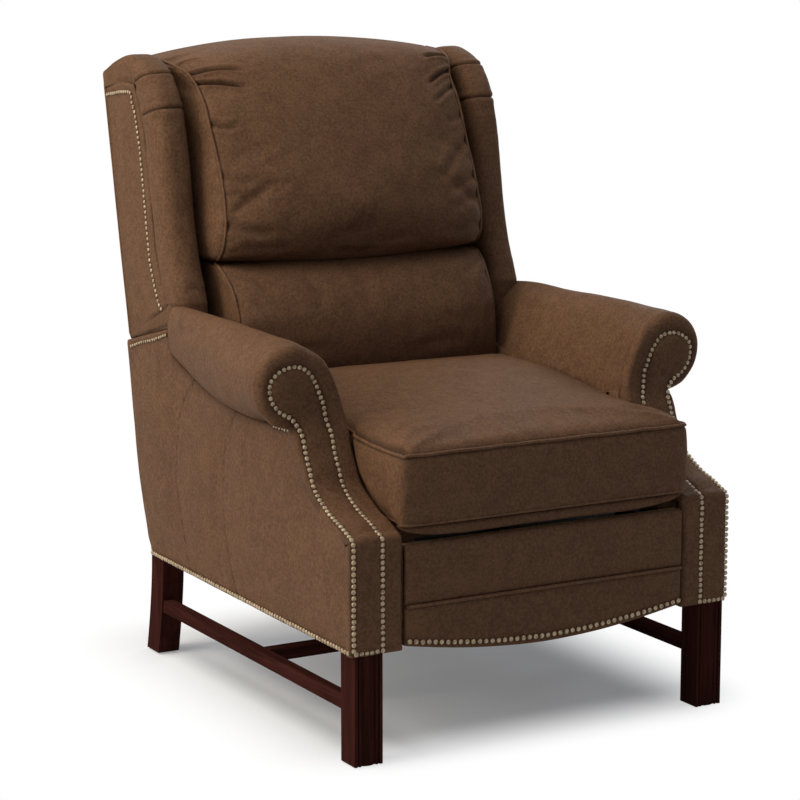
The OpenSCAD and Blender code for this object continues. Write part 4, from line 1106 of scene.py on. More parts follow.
def makeOutsideBack():
    s = outsideBack
    r = s["round"]
    corner = [(s["halfHigh"] - r + r * math.sin(a), s["high"] - r + r * math.cos(a))
              for a in np.linspace(math.pi / 2, 0, 8)]
    step = [(s["halfLow"], s["widens"][0]), (s["halfHigh"], s["widens"][1])]
    shape = [(s["halfLow"], s["low"])] + step + corner
    shape = [(-x, z) for x, z in shape[:1]] + shape + [(-x, z) for x, z in shape[:0:-1]]
    half = [(s["halfLow"] - s["nailInset"], s["low"] + 12), (s["halfHigh"] - s["nailInset"], s["high"] - 34),
            (s["halfHigh"] - 18, s["high"] - 16), (s["halfHigh"] - 36, s["high"] - 11)]
    row = evenly(half + [(0, s["high"] - 10)] + [(-x, z) for x, z in half[::-1]], 4)

    def rise(flat, gap):
        height = rounded(gap, 3.5, 2.6)
        near, _ = nearest(flat, row)
        spot = np.column_stack([flat, np.zeros(len(flat))])
        height += 3.4 * smooth(0, 140, gap) + 1.3 * softNoise(spot, 170, 31) + 0.5 * softNoise(spot, 48, 32)
        height -= 1.3 * bell(near, 4.2)
        more, marks = creases(flat, [([(-60, 300), (-90, 420), (-70, 560)], 1.4, 14),
                                     ([(120, 290), (150, 400), (140, 520)], 1.2, 12)])
        height += rearBulge(flat[:, 1]) * leanCos
        # painted shade along the nail row and the creases
        return height + more, np.clip(0.55 * bell(near, 5.5) + 0.3 * marks, 0, 1)

    piece = panelPiece("outsideBackLeather", shape, s["step"], backPlace, rise, s["thick"])
    declare(piece, "back", "outside_back")
    spot, out = backPlace(row)
    lift = 0.6 + rearBulge(row[:, 1])[:, None] * leanCos
    nailLines["back"].append((spot + out * lift, out, False))


makeOutsideBack()

rearSkirt = {"half": 323, "low": 175, "high": 219.5, "step": 6.0, "thick": 8.0, "nails": 182}


def makeRearSkirt():
    s = rearSkirt
    shape = [(-s["half"], s["low"]), (s["half"], s["low"]), (s["half"], s["high"]), (-s["half"], s["high"])]

    def rise(flat, gap):
        height = rounded(gap, 5, 2.6)
        spot = np.column_stack([flat, np.zeros(len(flat))])
        away = flat[:, 1] - s["nails"]
        height += 1.6 * smooth(0, 18, gap) + 0.6 * softNoise(spot, 60, 41) - 1.2 * bell(away, 3.6)
        # painted shade along the nail row
        return height, 0.5 * bell(away, 5)

    piece = panelPiece("rearSkirtLeather", shape, s["step"], backPlace, rise, s["thick"])
    declare(piece, "base", "rear_skirt")
    line = evenly([(-s["half"] + 6, s["nails"]), (s["half"] - 6, s["nails"])], 8)
    spot, out = backPlace(line)
    nailLines["base"].append((spot + out * 0.2, out, False))


makeRearSkirt()
print("outside back made")


# Pillows of the back: rings from bottom to top; a welted seam parts the front sheet from the side boxing

# the across mark of rear points, and below which mark a point is pressed
hidden, shownBelow = 999.0, 600.0


def pillowMesh(name, rows, seamSide, halfSide, rearOf, step, uneven):
    # rows: height, seam depth, width share, crown, arch; a ring runs along the front, round the sides and rear
    path = through(rows, step)
    across = int(2 * seamSide / step / 2) * 2
    boxing = 14
    s = np.linspace(-1, 1, across + 1)
    q = np.linspace(0, 1, boxing + 1)[1:-1]
    rings, marks = [], []
    run = lengthsOf(path[:, :2])
    for z, seamD, wide, crown, arch in path:
        rear = rearOf(z)
        lift = arch * (1 - s ** 2 + np.interp(s, *uneven))
        form = 0.55 * (1 - s ** 4) + 0.45 * (1 - s ** 2)
        edge = 1 - np.exp(-((1 - np.abs(s)) * seamSide / 11) ** 1.2)
        frontD = seamD - crown * 0.8 * form - np.minimum(crown * 0.3 + 2, 8) * edge
        front = np.column_stack([s * seamSide * wide, frontD, z + lift])
        grow = 1 - (1 - np.minimum(q / 0.4, 1)) ** 2
        sideX = (seamSide + (halfSide - seamSide) * grow - 5 * np.clip((q - 0.8) / 0.2, 0, 1) ** 2) * wide
        sideD = seamD + q * (rear - seamD)
        right = np.column_stack([sideX, sideD, np.full(len(q), z + lift[-1])])
        back = np.column_stack([-s * (halfSide - 6) * wide, np.full(len(s), rear), z + lift[::-1]])
        left = right[::-1] * (-1, 1, 1) + (0, 0, lift[0] - lift[-1])
        rings.append(np.vstack([front, right, back, left]))
        sideRun = seamSide + lengthsOf(np.vstack([front[-1:], right]))[1:]
        marks.append(np.concatenate([s * seamSide, sideRun, np.full(len(s), hidden), -sideRun[::-1]]))
    nF, nQ = across + 1, len(q)
    count = 2 * nF + 2 * nQ
    points, faces = tube(rings, closed=False)
    cols = np.concatenate(marks)
    ups = np.repeat(run, count)
    for end in (0, len(rings) - 1):          # a grid closes each end
        ring = rings[end]
        front, right = ring[:nF], ring[nF - 1:nF + nQ + 1]
        back = ring[nF + nQ:2 * nF + nQ][::-1]
        left = np.vstack([ring[:1], ring[2 * nF + nQ:][::-1], back[:1]])
        base, start = end * count, len(points)
        grid, fresh = {}, []
        for j in range(nQ + 2):
            for i in range(nF):
                if j == 0:
                    grid[i, j] = base + i
                elif j == nQ + 1:
                    grid[i, j] = base + nF + nQ + (nF - 1 - i)
                elif i == nF - 1:
                    grid[i, j] = base + nF + j - 1
                elif i == 0:
                    grid[i, j] = base + 2 * nF + nQ + (nQ - j)
                else:
                    u, v = i / (nF - 1), j / (nQ + 1)
                    corner = ((1 - u) * (1 - v) * front[0] + u * (1 - v) * front[-1]
                              + (1 - u) * v * back[0] + u * v * back[-1])
                    fresh.append((1 - v) * front[i] + v * back[i] + (1 - u) * left[j] + u * right[j] - corner)
                    grid[i, j] = start + len(fresh) - 1
        faces += [[grid[i, j], grid[i + 1, j], grid[i + 1, j + 1], grid[i, j + 1]]
                  for j in range(nQ + 1) for i in range(nF - 1)]
        points = np.vstack([points, fresh])
        cols = np.concatenate([cols, np.full(len(fresh), hidden)])
        ups = np.concatenate([ups, np.full(len(fresh), run[end])])
    piece = makeMesh(name, points, faces, "leather", {"across": cols, "up": ups})
    seamRows = [np.arange(len(rings)) * count, np.arange(len(rings)) * count + nF - 1]
    return piece, seamRows, path


headrest = {
    "low": 694, "tall": 310, "deep": 205, "crown": 32, "arch": 29.7, "half": 269, "seam": 250, "step": 5.3,
    "uneven": ((-1, -0.6, -0.3, 0, 0.3, 0.6, 1), (-0.1, -0.06, -0.02, 0, 0.1, 0.22, 0.36)),
    "rows": [(0.0, 0.5, 0.95, 0.5, 0.1), (0.01, 0.72, 0.99, 1.3, 0.1), (0.03, 0.83, 1.012, 1.42, 0.1),
             (0.068, 0.9, 1.01, 1.36, 0), (0.116, 0.952, 1.008, 1.26, 0), (0.213, 1.0, 1, 1.17, 0),
             (0.31, 1.0, 0.992, 1.16, 0), (0.455, 0.975, 0.987, 1.1, 0), (0.6, 0.915, 0.985, 1.04, 0),
             (0.745, 0.857, 0.992, 0.94, 0.04), (0.842, 0.81, 0.992, 0.86, 0.14), (0.939, 0.712, 0.995, 0.7, 0.42),
             (0.987, 0.675, 1.012, 0.56, 0.62), (1.03, 0.6, 1.034, 0.4, 0.82), (1.062, 0.42, 1.058, 0.2, 0.96),
             (1.08, 0.16, 1.04, 0.1, 1)],
    "pressure": 2.6, "cap": 10, "bareEnds": (2, 2), "seed": 60,
    "folds": [([(-256, 1028), (-236, 1028.7), (-190, 1028.8)], -4.6, 2.9),
              ([(-255, 1020), (-235, 1023), (-196, 1023)], -5.0, 3.1),
              ([(-251, 1009), (-205, 1010), (-145, 1001)], -5.4, 3.3),
              ([(-249, 993), (-215, 990), (-160, 977)], -5.4, 3.3),
              ([(256, 1024), (238, 1030), (200, 1034)], -5.0, 3.0),
              ([(253, 1012), (232, 1015), (186, 1010)], -5.6, 3.2),
              ([(250, 995), (228, 991), (182, 972)], -5.6, 3.4), ([(249, 972), (222, 964), (180, 944)], -3.0, 4.4),
              ([(247, 882), (219, 866), (186, 839), (160, 812)], -3.4, 8),
              ([(248, 822), (207, 809), (167, 790)], -3.3, 8.5),
              ([(248, 790), (214, 784), (170, 764)], -3.0, 9), ([(245, 735), (205, 728), (150, 731)], -2.3, 9),
              ([(248, 925), (222, 918), (196, 921)], -2.2, 6), ([(-247, 926), (-226, 921), (-198, 924)], -3.0, 5.5),
              ([(-246, 842), (-222, 832), (-190, 834)], -2.4, 7), ([(-247, 760), (-205, 747), (-158, 745)], -2.8, 8),
              ([(-236, 730), (-190, 720), (-120, 717)], 2.0, 8), ([(120, 725), (40, 718), (-30, 724)], 1.6, 9),
              ([(30, 985), (80, 1000), (150, 1003)], 1.6, 9)]}


def makePillow(name, node, s, rows, rearOf, halfSide):
    # a blown up pillow of the back, held at its seams and rear, with a welt on each side
    piece, seamRows, path = pillowMesh(name, rows, s["seam"], halfSide, rearOf, s["step"], s["uneven"])
    across = np.abs(marksOf(piece, "across"))
    held = np.where((across > shownBelow) | (np.abs(across - s["seam"]) < 1), 1.0, 0.0)
    blowUp(piece, held, s["pressure"], s["cap"])
    refine(piece)
    p, n = spots(piece), pointing(piece)
    low, high = s["bareEnds"]
    for row in seamRows:
        row = row[low:len(row) - high]
        weltLines["back"].append((p[row] - n[row] * 0.2, None, False))
    dressPillow(piece, s["folds"], s["seam"], s["seed"], path)
    declare(piece, "back", node)


def dressPillow(piece, strokes, seamSide, seed, path):
    # strokes are (across, height); heights are turned into lengths along the front
    across, up = marksOf(piece, "across"), marksOf(piece, "up")
    p = spots(piece)
    run = lengthsOf(path[:, :2])
    laid = [([(x, np.interp(z, path[:, 0], run)) for x, z in points], depth, width)
            for points, depth, width in strokes]
    # painted shade along the creases
    rise, foldShade = creases(np.column_stack([across, up]), laid)
    rise += 1.5 * softNoise(p, 105, seed) + 0.9 * softNoise(p, 42, seed + 1) + 0.25 * softNoise(p, 16, seed + 2)
    # a dip on both sides of the welt, with small puckers along it and painted shade in it
    away = np.abs(np.abs(across) - seamSide)
    rise -= 2.2 * bell(away, 4.5)
    rise += 0.9 * softNoise(np.column_stack([np.sign(across) * 400, up, up * 0]), 15, 51) * bell(away - 12, 10)
    foldShade += 0.8 * bell(away, 4)
    shown = (np.abs(across) < shownBelow).astype(float)
    press(piece, rise * shown, foldShade * shown)


def makeHeadrest():
    h = headrest
    rows = []
    for share, seam, wide, crown, arch in h["rows"]:
        z = h["low"] + share * h["tall"]
        rows.append((z, frameFront(min(z, chair["backTop"])) - seam * h["deep"], wide, crown * h["crown"],
                     arch * h["arch"]))

    def rearOf(z):
        # the rear face lies on the frame, and above it on the outside back
        capped = min(z, chair["backTop"])
        return frameFront(z) + smooth(968, 984, z) * (rearAt(capped) - 9 - frameFront(capped))

    makePillow("headrestPillow", "headrest_pillow", h, rows, rearOf, h["half"] - 3)


lumbar = {
    "low": 435, "tall": 256, "deep": 198, "crown": 25, "half": 254, "seam": 250.5, "step": 6.5,
    "uneven": ((-1, 1), (0, 0)), "pressure": 2.4, "cap": 8, "bareEnds": (8, 1), "seed": 70,
    "rows": [(0.0, 0.7, 0.95, 0.0), (0.03, 0.9, 0.985, 0.05), (0.15, 0.985, 1.0, 0.1), (0.254, 1.008, 1.0, 0.2),
             (0.371, 1.04, 1.0, 0.7), (0.488, 1.07, 1.0, 1.0), (0.605, 1.09, 0.998, 1.1), (0.664, 1.097, 0.995, 1.1),
             (0.723, 1.083, 0.995, 1.1), (0.781, 1.064, 0.998, 1.05), (0.84, 1.034, 1.0, 1.0),
             (0.898, 0.99, 1.006, 0.9), (0.957, 0.915, 1.014, 0.7), (0.99, 0.84, 1.016, 0.5), (1.004, 0.68, 0.99, 0.2)],
    "folds": [([(-238, 678), (-205, 663), (-176, 646)], -2.6, 8), ([(-242, 664), (-222, 640), (-200, 612)], -2.4, 8),
              ([(-244, 640), (-228, 606), (-215, 570)], -1.6, 8), ([(-120, 678), (-105, 647), (-102, 600)], 1.6, 11),
              ([(-20, 680), (-10, 648), (-18, 612)], 1.2, 12), ([(95, 680), (90, 650), (100, 615)], 1.3, 11),
              ([(238, 676), (208, 660), (178, 652)], -1.8, 9), ([(242, 650), (230, 622), (215, 590)], -2.0, 9),
              ([(240, 610), (229, 570), (233, 530)], 2.2, 8), ([(208, 565), (200, 535), (206, 505)], 1.8, 8),
              ([(-200, 540), (-150, 552), (-80, 548)], 1.8, 10), ([(60, 535), (120, 548), (190, 542)], 1.8, 10)]}


def makeLumbar():
    s = lumbar
    rows = []
    for share, seam, wide, crown in s["rows"]:
        z = s["low"] + share * s["tall"]
        rows.append((z, frameFront(z) - seam * s["deep"], wide, crown * s["crown"], 0.0))
    makePillow("lumbarPillow", "lumbar_pillow", s, rows, frameFront, s["half"])


makeHeadrest()
makeLumbar()
print("back pillows made")


# Seat cushion: top, boxing and underside meet at two welts

cushion = {"half": 253, "front": -7.6, "rear": 547.6, "low": 366.5, "boxing": 108.5, "rise": 26, "crown": 16,
           "edgeRise": 15, "edgeReach": 20, "round": 16, "spread": 10.0, "bulge": 4.0, "pull": 5, "step": 7.0,
           "boxRows": 15, "pressure": 2.6, "cap": 9,
           "topFolds": [([(-235, 20), (-200, 45), (-150, 55)], 1.8, 9), ([(238, 18), (205, 40), (160, 48)], 2.0, 9),
                        ([(-60, 8), (-40, 40), (-45, 80)], 1.2, 9), ([(90, 6), (100, 36), (92, 70)], 1.2, 9),
                        ([(-245, 180), (-220, 190), (-190, 186)], 1.4, 9)],
           "boxFolds": [([(30, 98), (34, 60), (28, 22)], 1.5, 9), ([(62, 100), (60, 70), (66, 40)], 1.2, 9),
                        ([(96, 98), (92, 66), (97, 30)], 1.1, 9), ([(-120, 96), (-116, 64), (-122, 34)], 1.0, 10),
                        ([(-210, 96), (-200, 60), (-206, 24)], 1.2, 9), ([(200, 98), (206, 66), (198, 30)], 1.2, 9)]}


def cushionPlan(a, b):
    # a square grid drawn onto the rounded plan: a across, b from front to rear
    c = cushion
    half, halfD = c["half"], (c["rear"] - c["front"]) / 2
    x, y = a * half, b * halfD
    reach = np.maximum(np.abs(a), np.abs(b))
    size = np.hypot(x, y) + 1e-9
    ux, uy = x / size, y / size
    edge = np.minimum(half / np.maximum(np.abs(ux), 1e-9), halfD / np.maximum(np.abs(uy), 1e-9))
    r = c["round"]
    qx, qy = half - r, halfD - r
    cx, cy = np.sign(ux) * qx, np.sign(uy) * qy
    dot = ux * cx + uy * cy
    under = np.clip(dot ** 2 - (qx ** 2 + qy ** 2 - r ** 2), 0, None)
    corner = dot + np.sqrt(under)
    hit = (np.abs(ux * edge) > qx - 1e-9) & (np.abs(uy * edge) > qy - 1e-9)
    radius = np.where(hit, np.minimum(corner, edge), edge)
    share = size / edge
    px, py = ux * radius * share, uy * radius * share
    pull = c["pull"] * reach ** 3
    px -= np.sign(px) * pull * (1 - (py / halfD) ** 2) * (np.abs(a) >= np.abs(b)) * np.abs(px) / half
    d = py + (c["rear"] + c["front"]) / 2
    return px, d


def cushionSeamTop(d):
    c = cushion
    return c["low"] + c["boxing"] + c["rise"] * smooth(50, 430, d)


def makeCushion():
    c = cushion
    nx, ny = int(2 * c["half"] / c["step"]), int((c["rear"] - c["front"]) / c["step"])
    a, b = np.meshgrid(np.linspace(-1, 1, nx + 1), np.linspace(-1, 1, ny + 1), indexing="ij")
    x, d = cushionPlan(a.ravel(), b.ravel())
    reach = np.maximum(np.abs(a), np.abs(b)).ravel()
    dome = (1 - np.abs(a.ravel()) ** 2.6) * (1 - np.abs(b.ravel()) ** 2.6)
    edge = np.sqrt(np.clip(1 - (1 - np.clip((1 - reach) * 250 / c["edgeReach"], 0, 1)) ** 2, 0, 1))
    top = cushionSeamTop(d) + c["crown"] * dome + c["edgeRise"] * edge

    def key(i, j):
        return i * (ny + 1) + j

    loop = ([key(i, 0) for i in range(nx)] + [key(nx, j) for j in range(ny)]
            + [key(i, ny) for i in range(nx, 0, -1)] + [key(0, j) for j in range(ny, 0, -1)])
    points = [np.column_stack([x, d, top])]
    topCount = count = (nx + 1) * (ny + 1)
    faces = [[key(i, j), key(i + 1, j), key(i + 1, j + 1), key(i, j + 1)] for i in range(nx) for j in range(ny)]
    ring = points[0][loop]
    ring[:, 2] = cushionSeamTop(ring[:, 1])
    points[0][loop, 2] = ring[:, 2]
    # the boxing bulges along a plan that is nearly square
    out = ring[:, :2] - np.array([0, 270])
    out = np.sign(out) * np.abs(out / (253, 278)) ** 6
    out /= np.linalg.norm(out, axis=1)[:, None]
    previous = loop
    for k in range(1, c["boxRows"] + 1):
        t = k / c["boxRows"]
        bulge = c["bulge"] * math.sin(math.pi * t) ** 0.6
        points.append(np.column_stack([ring[:, :2] + out * bulge, ring[:, 2] * (1 - t) + c["low"] * t]))
        names = list(range(count, count + len(loop)))
        for i in range(len(loop)):
            j = (i + 1) % len(loop)
            faces.append([previous[i], previous[j], names[j], names[i]])
        previous, count = names, count + len(loop)
    under, fresh = dict(zip(loop, previous)), []
    for i in range(1, nx):
        for j in range(1, ny):
            under[key(i, j)] = count + len(fresh)
            fresh.append((x[key(i, j)], d[key(i, j)], c["low"]))
    faces += [[under[key(i, j)], under[key(i, j + 1)], under[key(i + 1, j + 1)], under[key(i + 1, j)]]
              for i in range(nx) for j in range(ny)]
    points = np.vstack(points + [np.array(fresh)])
    # above the swan necks the cushion spreads over them
    spread = c["spread"] * smooth(1, 14, points[:, 2] - swanTop(np.maximum(points[:, 1], 0)))
    points[:, 0] += np.sign(points[:, 0]) * spread * np.clip(np.abs(points[:, 0]) / 250, 0, 1) ** 6
    # level is 0 on top, runs to 1 down the boxing and is 1 underneath
    level = np.zeros(len(points))
    level[topCount:-len(fresh)] = np.repeat(np.arange(1, c["boxRows"] + 1) / c["boxRows"], len(loop))
    level[-len(fresh):] = 1.0
    piece = makeMesh("seatCushion", points, faces, "leather", {"level": level})
    held = np.zeros(len(points))
    held[loop] = held[previous] = held[-len(fresh):] = 1.0
    p = spots(piece)
    rear = (p[:, 1] > 470) & (level < 1)
    held[rear] = np.maximum(held[rear], 0.6)
    held[(np.abs(p[:, 0]) > 240) & (level > 0) & (p[:, 1] > 60)] = 1.0
    blowUp(piece, held, c["pressure"], c["cap"])
    refine(piece)
    p, n = spots(piece), pointing(piece)
    wave = 0.9 * softNoise(p, 26, 89)[:, None] * (0, 0, 1)
    weltLines["seat"].append(((p + wave)[loop] + n[loop] * 0.2, None, True))
    weltLines["seat"].append((p[previous] + n[previous] * 0.2 + (0, 0, 1.4), None, True))
    level = marksOf(piece, "level")
    onTop = smooth(0.06, 0.0, level)
    onBox = smooth(0.0, 0.05, level) * smooth(1.0, 0.97, level)
    x, d = p[:, 0], p[:, 1]
    rise = 1.5 * softNoise(p, 110, 81) + 0.8 * softNoise(p, 40, 82) + 0.2 * softNoise(p, 15, 83)
    moreTop, foldTop = creases(np.column_stack([x, d]), c["topFolds"])
    moreBox, foldBox = creases(np.column_stack([x, p[:, 2] - c["low"]]), c["boxFolds"])
    frontFace = smooth(25, 5, d)
    rise += moreTop * onTop + moreBox * onBox * frontFace
    # painted shade in the folds of the top and front boxing, and along both welts
    foldShade = 0.5 * foldTop * onTop + 0.6 * foldBox * onBox * frontFace
    edgeGap = np.minimum(c["half"] - np.abs(x), np.minimum(d - c["front"], c["rear"] - d))
    seamGap = np.where(level < 0.01, np.clip(edgeGap, 0, 99), np.minimum(level, 1 - level) * c["boxing"])
    rise -= 2.2 * bell(seamGap, 4.5)
    rise += 0.7 * softNoise(p, 24, 85) * bell(seamGap - 12, 10)
    foldShade += 0.75 * bell(seamGap, 4.5)
    press(piece, rise * smooth(0.995, 0.9, level), foldShade)
    declare(piece, "seat", "seat_cushion")


makeCushion()

seatLip = {"half": 257, "low": 345.5, "high": 366.0, "front": -2.0, "rear": 20.0, "round": 8.0, "step": 5.0,
           "ends": 105, "slimmest": 0.12}


def makeSeatLip():
    # the padded front edge of the seat, just under the cushion
    s = seatLip
    a = np.linspace(0, math.pi / 2, 5)
    low, high = ([(s["front"] + s["round"] * (1 - math.sin(t)), z + way * s["round"] * (1 - math.cos(t)))
                  for t in a] for z, way in ((s["low"], 1), (s["high"], -1)))
    shape = np.array([(s["rear"], s["low"])] + low + high[::-1] + [(s["rear"], s["high"])])
    shape = evenly(shape, 3.4, closed=True)
    rings = []
    for x in np.linspace(-s["half"], s["half"], int(2 * s["half"] / s["step"])):
        slim = s["slimmest"] + (1 - s["slimmest"]) * math.sqrt(1 - (1 - min(1, (s["half"] - abs(x)) / s["ends"])) ** 2)
        ring = np.array([s["rear"], s["high"]]) + (shape - (s["rear"], s["high"])) * (0.7 + 0.3 * slim, slim)
        rings.append(np.column_stack([np.full(len(ring), x), ring]))
    points, faces = tube(rings)
    piece = makeMesh("seatFrontLip", points, faces, "leather")
    p = spots(piece)
    # painted shade at the top, under the cushion, and along the bottom edge
    foldShade = 0.5 * smooth(s["high"] - 8, s["high"], p[:, 2]) + 0.4 * smooth(s["low"] + 5, s["low"], p[:, 2])
    press(piece, 0.8 * softNoise(p, 50, 87) + 0.3 * softNoise(p, 20, 88), foldShade)
    declare(piece, "seat")


makeSeatLip()
print("seat cushion made")


# Footrest pad: a padded face with one welt, its lower edge bowed under a nail row

footPad = {"half": 254.5, "face": -6.5, "top": 338.5, "low": 155.5, "bow": 27, "bend": 1.8, "welt": 243,
           "step": 5.0, "thick": 10.5}


def bowAt(x):
    # height of the bowed lower edge
    return footPad["low"] + footPad["bow"] * (np.abs(x) / footPad["half"]) ** footPad["bend"]


def makeFootPad():
    s = footPad
    xs = np.linspace(-s["half"], s["half"], 90)
    high = s["low"] + s["bow"]
    edge = np.vstack([np.column_stack([xs, bowAt(xs)]), evenly([(s["half"], high + 4), (s["half"], s["top"])], 5)[:-1],
                      evenly([(s["half"], s["top"]), (-s["half"], s["top"])], 5)[:-1],
                      evenly([(-s["half"], s["top"]), (-s["half"], high + 4)], 5)[:-1]])

    def nailZ(x):
        return bowAt(x) + 11 - 3 * (x / s["half"]) ** 2

    def place(flat):
        spot = np.column_stack([flat[:, 0], np.full(len(flat), float(s["face"])), flat[:, 1]])
        return spot, np.tile([0.0, -1.0, 0.0], (len(flat), 1))

    def rise(flat, gap):
        x, z = flat[:, 0], flat[:, 1]
        sideGap = s["half"] - np.abs(x)
        upper = smooth(s["welt"] + 2, s["welt"] + 14, z)
        height = np.minimum(np.minimum(rounded(s["top"] - z, 17, 9.0), rounded(sideGap, 7, 5.0)),
                            rounded(z - bowAt(x), 4, 3.0))
        height += upper * (1.8 * smooth(0, 50, np.minimum(sideGap, z - s["welt"]))) - (1 - upper) * 1.6
        height -= 2.2 * bell(z - s["welt"], 3.6)
        height -= 1.0 * bell(z - nailZ(x), 4)
        spot = np.column_stack([x, z, x * 0])
        height += 0.7 * softNoise(spot, 80, 91) + 0.3 * softNoise(spot, 28, 92)
        # painted shade along the welt, the nail row and the creases
        foldShade = 1.0 * bell(z - s["welt"], 4.4) + 0.5 * bell(z - nailZ(x), 5)
        more, marks = creases(flat, [([(-200, 330), (-150, 322), (-80, 326)], 1.4, 6),
                                     ([(40, 328), (110, 320), (190, 327)], 1.4, 6)])
        return height + more, np.clip(foldShade + 0.3 * marks, 0, 1)

    piece = panelPiece("footrestPad", edge, s["step"], place, rise, s["thick"])
    declare(piece, "footrest", "footrest_pad")
    x = np.linspace(6 - s["half"], s["half"] - 6, 120)
    spot, out = place(np.column_stack([x, nailZ(x)]))
    nailLines["footrest"].append((spot + out * 0.2, out, False))
    x = np.linspace(2 - s["half"], s["half"] - 2, 80)
    spot, _ = place(np.column_stack([x, np.full(len(x), s["welt"] + 0.4)]))
    weltLines["footrest"].append((spot - (0, 0.4, 0), None, False))


makeFootPad()
print("footrest pad made")


# Stay strips between the dust cover and the side rails

staySpan = {"inner": 286, "outer": 306, "low": 176.7, "high": 177.7, "front": 90, "rear": 660}


def makeStayStrips():
    # flat strips with rounded edges, one on each side
    s = staySpan
    a = np.linspace(0, 2 * math.pi, 12, endpoint=False)
    up = np.sign(np.sin(a)) * np.abs(np.sin(a)) ** 0.4
    x = (s["outer"] + s["inner"]) / 2 + (s["outer"] - s["inner"]) / 2 * np.cos(a)
    z = (s["high"] + s["low"]) / 2 + (s["high"] - s["low"]) / 2 * up
    for sideName, side in sides.items():
        rings = [np.column_stack([side * x, np.full(len(a), d), z]) for d in np.linspace(s["front"], s["rear"], 40)]
        points, faces = tube(rings)
        piece = makeMesh(sideName + "StayStrip", points, faces, "dustCloth")
        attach(piece, "base")


makeStayStrips()


# Nails and welts, one mesh for each body

for body, lines in nailLines.items():
    fromLines(body + "Nails", lines, "nails", "brass", body, dict(nailLook, Pitch=nailPitch[body]))
for body, lines in weltLines.items():
    fromLines(body + "Welts", lines, "welt", "welt", body, weltLook)
print("nails and welts made")


# Wood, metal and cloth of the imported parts

partFinishes = {
    "uprightMahogany": ["left_front_leg", "right_front_leg", "left_rear_leg", "right_rear_leg"],
    "alongMahogany": ["left_side_stretcher", "right_side_stretcher"], "acrossMahogany": ["cross_stretcher"],
    "beech": ["left_front_post", "right_front_post", "left_back_post", "right_back_post", "back_rails",
              "left_side_rail", "right_side_rail", "front_cross_rail", "rear_rail"],
    "ply": ["left_side_board", "right_side_board", "left_wing_board", "right_wing_board", "footrest_board"],
    "steel": ["leg_bolts", "left_seat_track", "right_seat_track", "left_pivot_plate", "right_pivot_plate",
              "recline_pins", "left_back_bracket", "right_back_bracket", "left_seat_runner", "right_seat_runner",
              "swing_pins", "swing_arms", "elbow_pins", "lift_arms", "board_pins", "board_brackets"],
    "webbing": ["back_webbing", "seat_webbing"], "dustCloth": ["dust_cover"], "nylon": ["leg_glides"],
    "shadeLeather": ["seat_deck", "seat_frame"]}
softEdges = {"uprightMahogany": 0.0009, "alongMahogany": 0.0014, "acrossMahogany": 0.0014, "beech": 0.0015,
             "ply": 0.0008, "steel": 0.0004}
for finish, nodes in partFinishes.items():
    for node in nodes:
        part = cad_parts[node]
        part.data.materials.clear()
        part.data.materials.append(finishes[finish])
        if finish in softEdges:
            joined = part.modifiers.new("joined", "WELD")
            joined.merge_threshold = 0.00002
            edge = part.modifiers.new("softEdge", "BEVEL")
            edge.width = softEdges[finish]
            edge.segments = 2
            edge.limit_method = "ANGLE"
            edge.angle_limit = math.radians(32)
            edge.harden_normals = False
print("packed parts finished")


# Floor, light and camera

floorLook = {"size": 60.0, "halfWide": 0.37, "halfDeep": 0.43, "inside": 0.11, "fade": 0.21, "glow": 0.13,
             "bounce": 0.52}


def seenRay(b):
    # 1 for what the camera sees straight, mirrored or through something, 0 for light that bounces
    ray = b.node("ShaderNodeLightPath", out="Is Camera Ray")
    seen = b.node("ShaderNodeMath", {0: ray, 1: ray.other("Is Glossy Ray")}, operation="MAXIMUM")
    return b.node("ShaderNodeMath", {0: seen, 1: ray.other("Is Transmission Ray")}, operation="MAXIMUM")


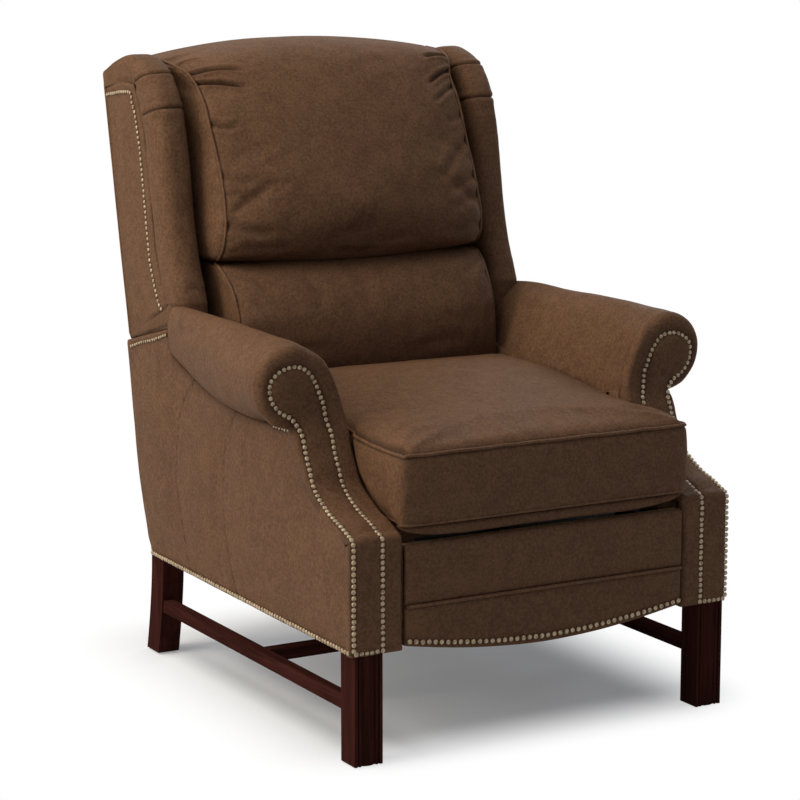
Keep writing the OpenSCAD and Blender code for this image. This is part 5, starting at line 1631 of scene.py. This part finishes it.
def makeFloor():
    bpy.ops.mesh.primitive_grid_add(x_subdivisions=8, y_subdivisions=8, size=floorLook["size"] * 2)
    floor = bpy.context.object
    floor.name = "paleFloor"
    finish, b = newFinish("paleFloor")
    place = b.node("ShaderNodeTexCoord", out="Object")
    # how far beyond the feet: there the floor glows white for camera and mirror rays, painted light that clears the
    # shadow away, so that the shadow stays under the object and its rim; under it a small glow is painted light that
    # lightens the shadow
    beyond = b.node("ShaderNodeVectorMath", {0: place}, operation="ABSOLUTE")
    start = (floorLook["halfWide"] - floorLook["inside"], floorLook["halfDeep"] - floorLook["inside"], 0.0)
    beyond = b.node("ShaderNodeVectorMath", {0: beyond, 1: start}, operation="SUBTRACT")
    beyond = b.node("ShaderNodeVectorMath", {0: beyond, 1: (0.0, 0.0, 0.0)}, operation="MAXIMUM")
    away = b.node("ShaderNodeVectorMath", {0: beyond}, out="Value", operation="LENGTH")
    speck = b.noise(place, 30.0, 3.0)
    seen = seenRay(b)
    pale = b.blend(speck, paint(247, 247, 247), paint(250, 250, 250))
    tint = b.blend(seen, (floorLook["bounce"],) * 3 + (1.0,), pale)
    plain = b.node("ShaderNodeBsdfDiffuse", {"Color": tint, "Roughness": 0.0})
    glow = b.node("ShaderNodeEmission", {"Color": (1.0, 1.0, 1.0, 1.0), "Strength": 1.0})
    share = seen * away.between(0.0, floorLook["fade"], floorLook["glow"], 1.0)
    surface = b.node("ShaderNodeMixShader", {0: share, 1: plain, 2: glow})
    b.node("ShaderNodeOutputMaterial", {"Surface": surface})
    floor.data.materials.append(finish)


makeFloor()

world = bpy.data.worlds.new("studio")
bpy.context.scene.world = world
world.use_nodes = True
world.node_tree.nodes.clear()
air = Bench(world.node_tree)
ambient = 0.268
air.node("ShaderNodeOutputWorld", {"Surface": air.node("ShaderNodeBackground", {
    "Color": air.blend(seenRay(air), (0.94, 1.0, 1.15, 1.0), (1.0, 1.0, 1.0, 1.0)),
    "Strength": seenRay(air) * (1 - ambient) + ambient})})

lamps = {"key": {"from": (-3.2, 0.1, 1.9), "size": 1.7, "power": 64, "tint": (1.0, 0.94, 0.845)},
         "overhead": {"from": (-1.5, 0.2, 3.6), "size": 2.2, "power": 57, "tint": (1.0, 0.94, 0.845)},
         "rim": {"from": (2.4, 1.9, 2.0), "size": 1.4, "power": 16, "tint": (1.0, 1.0, 1.0)}}


def makeLamp(name, look):
    lamp = bpy.data.lights.new(name, "AREA")
    lamp.size = look["size"]
    lamp.energy = look["power"]
    lamp.color = look["tint"]
    holder = bpy.data.objects.new(name, lamp)
    bpy.context.scene.collection.objects.link(holder)
    holder.location = look["from"]
    holder.rotation_euler = (Vector((0, 0, 0.5)) - Vector(look["from"])).to_track_quat("-Z", "Y").to_euler()


for name, look in lamps.items():
    makeLamp(name, look)

view = {"at": (-2.13366, -3.75130, 1.24780), "turn": -29.608, "down": 10.276, "lens": 116.63, "sensor": 36.0}


def makeCamera():
    eye = bpy.data.cameras.new("photoView")
    eye.lens, eye.sensor_width = view["lens"], view["sensor"]
    eye.clip_start, eye.clip_end = 0.1, 200
    holder = bpy.data.objects.new("photoView", eye)
    bpy.context.scene.collection.objects.link(holder)
    holder.location = view["at"]
    holder.rotation_euler = (math.radians(90 - view["down"]), 0, math.radians(view["turn"]))
    bpy.context.scene.camera = holder


makeCamera()
bpy.context.scene.view_settings.view_transform = "Standard"
print("floor, light and camera made")
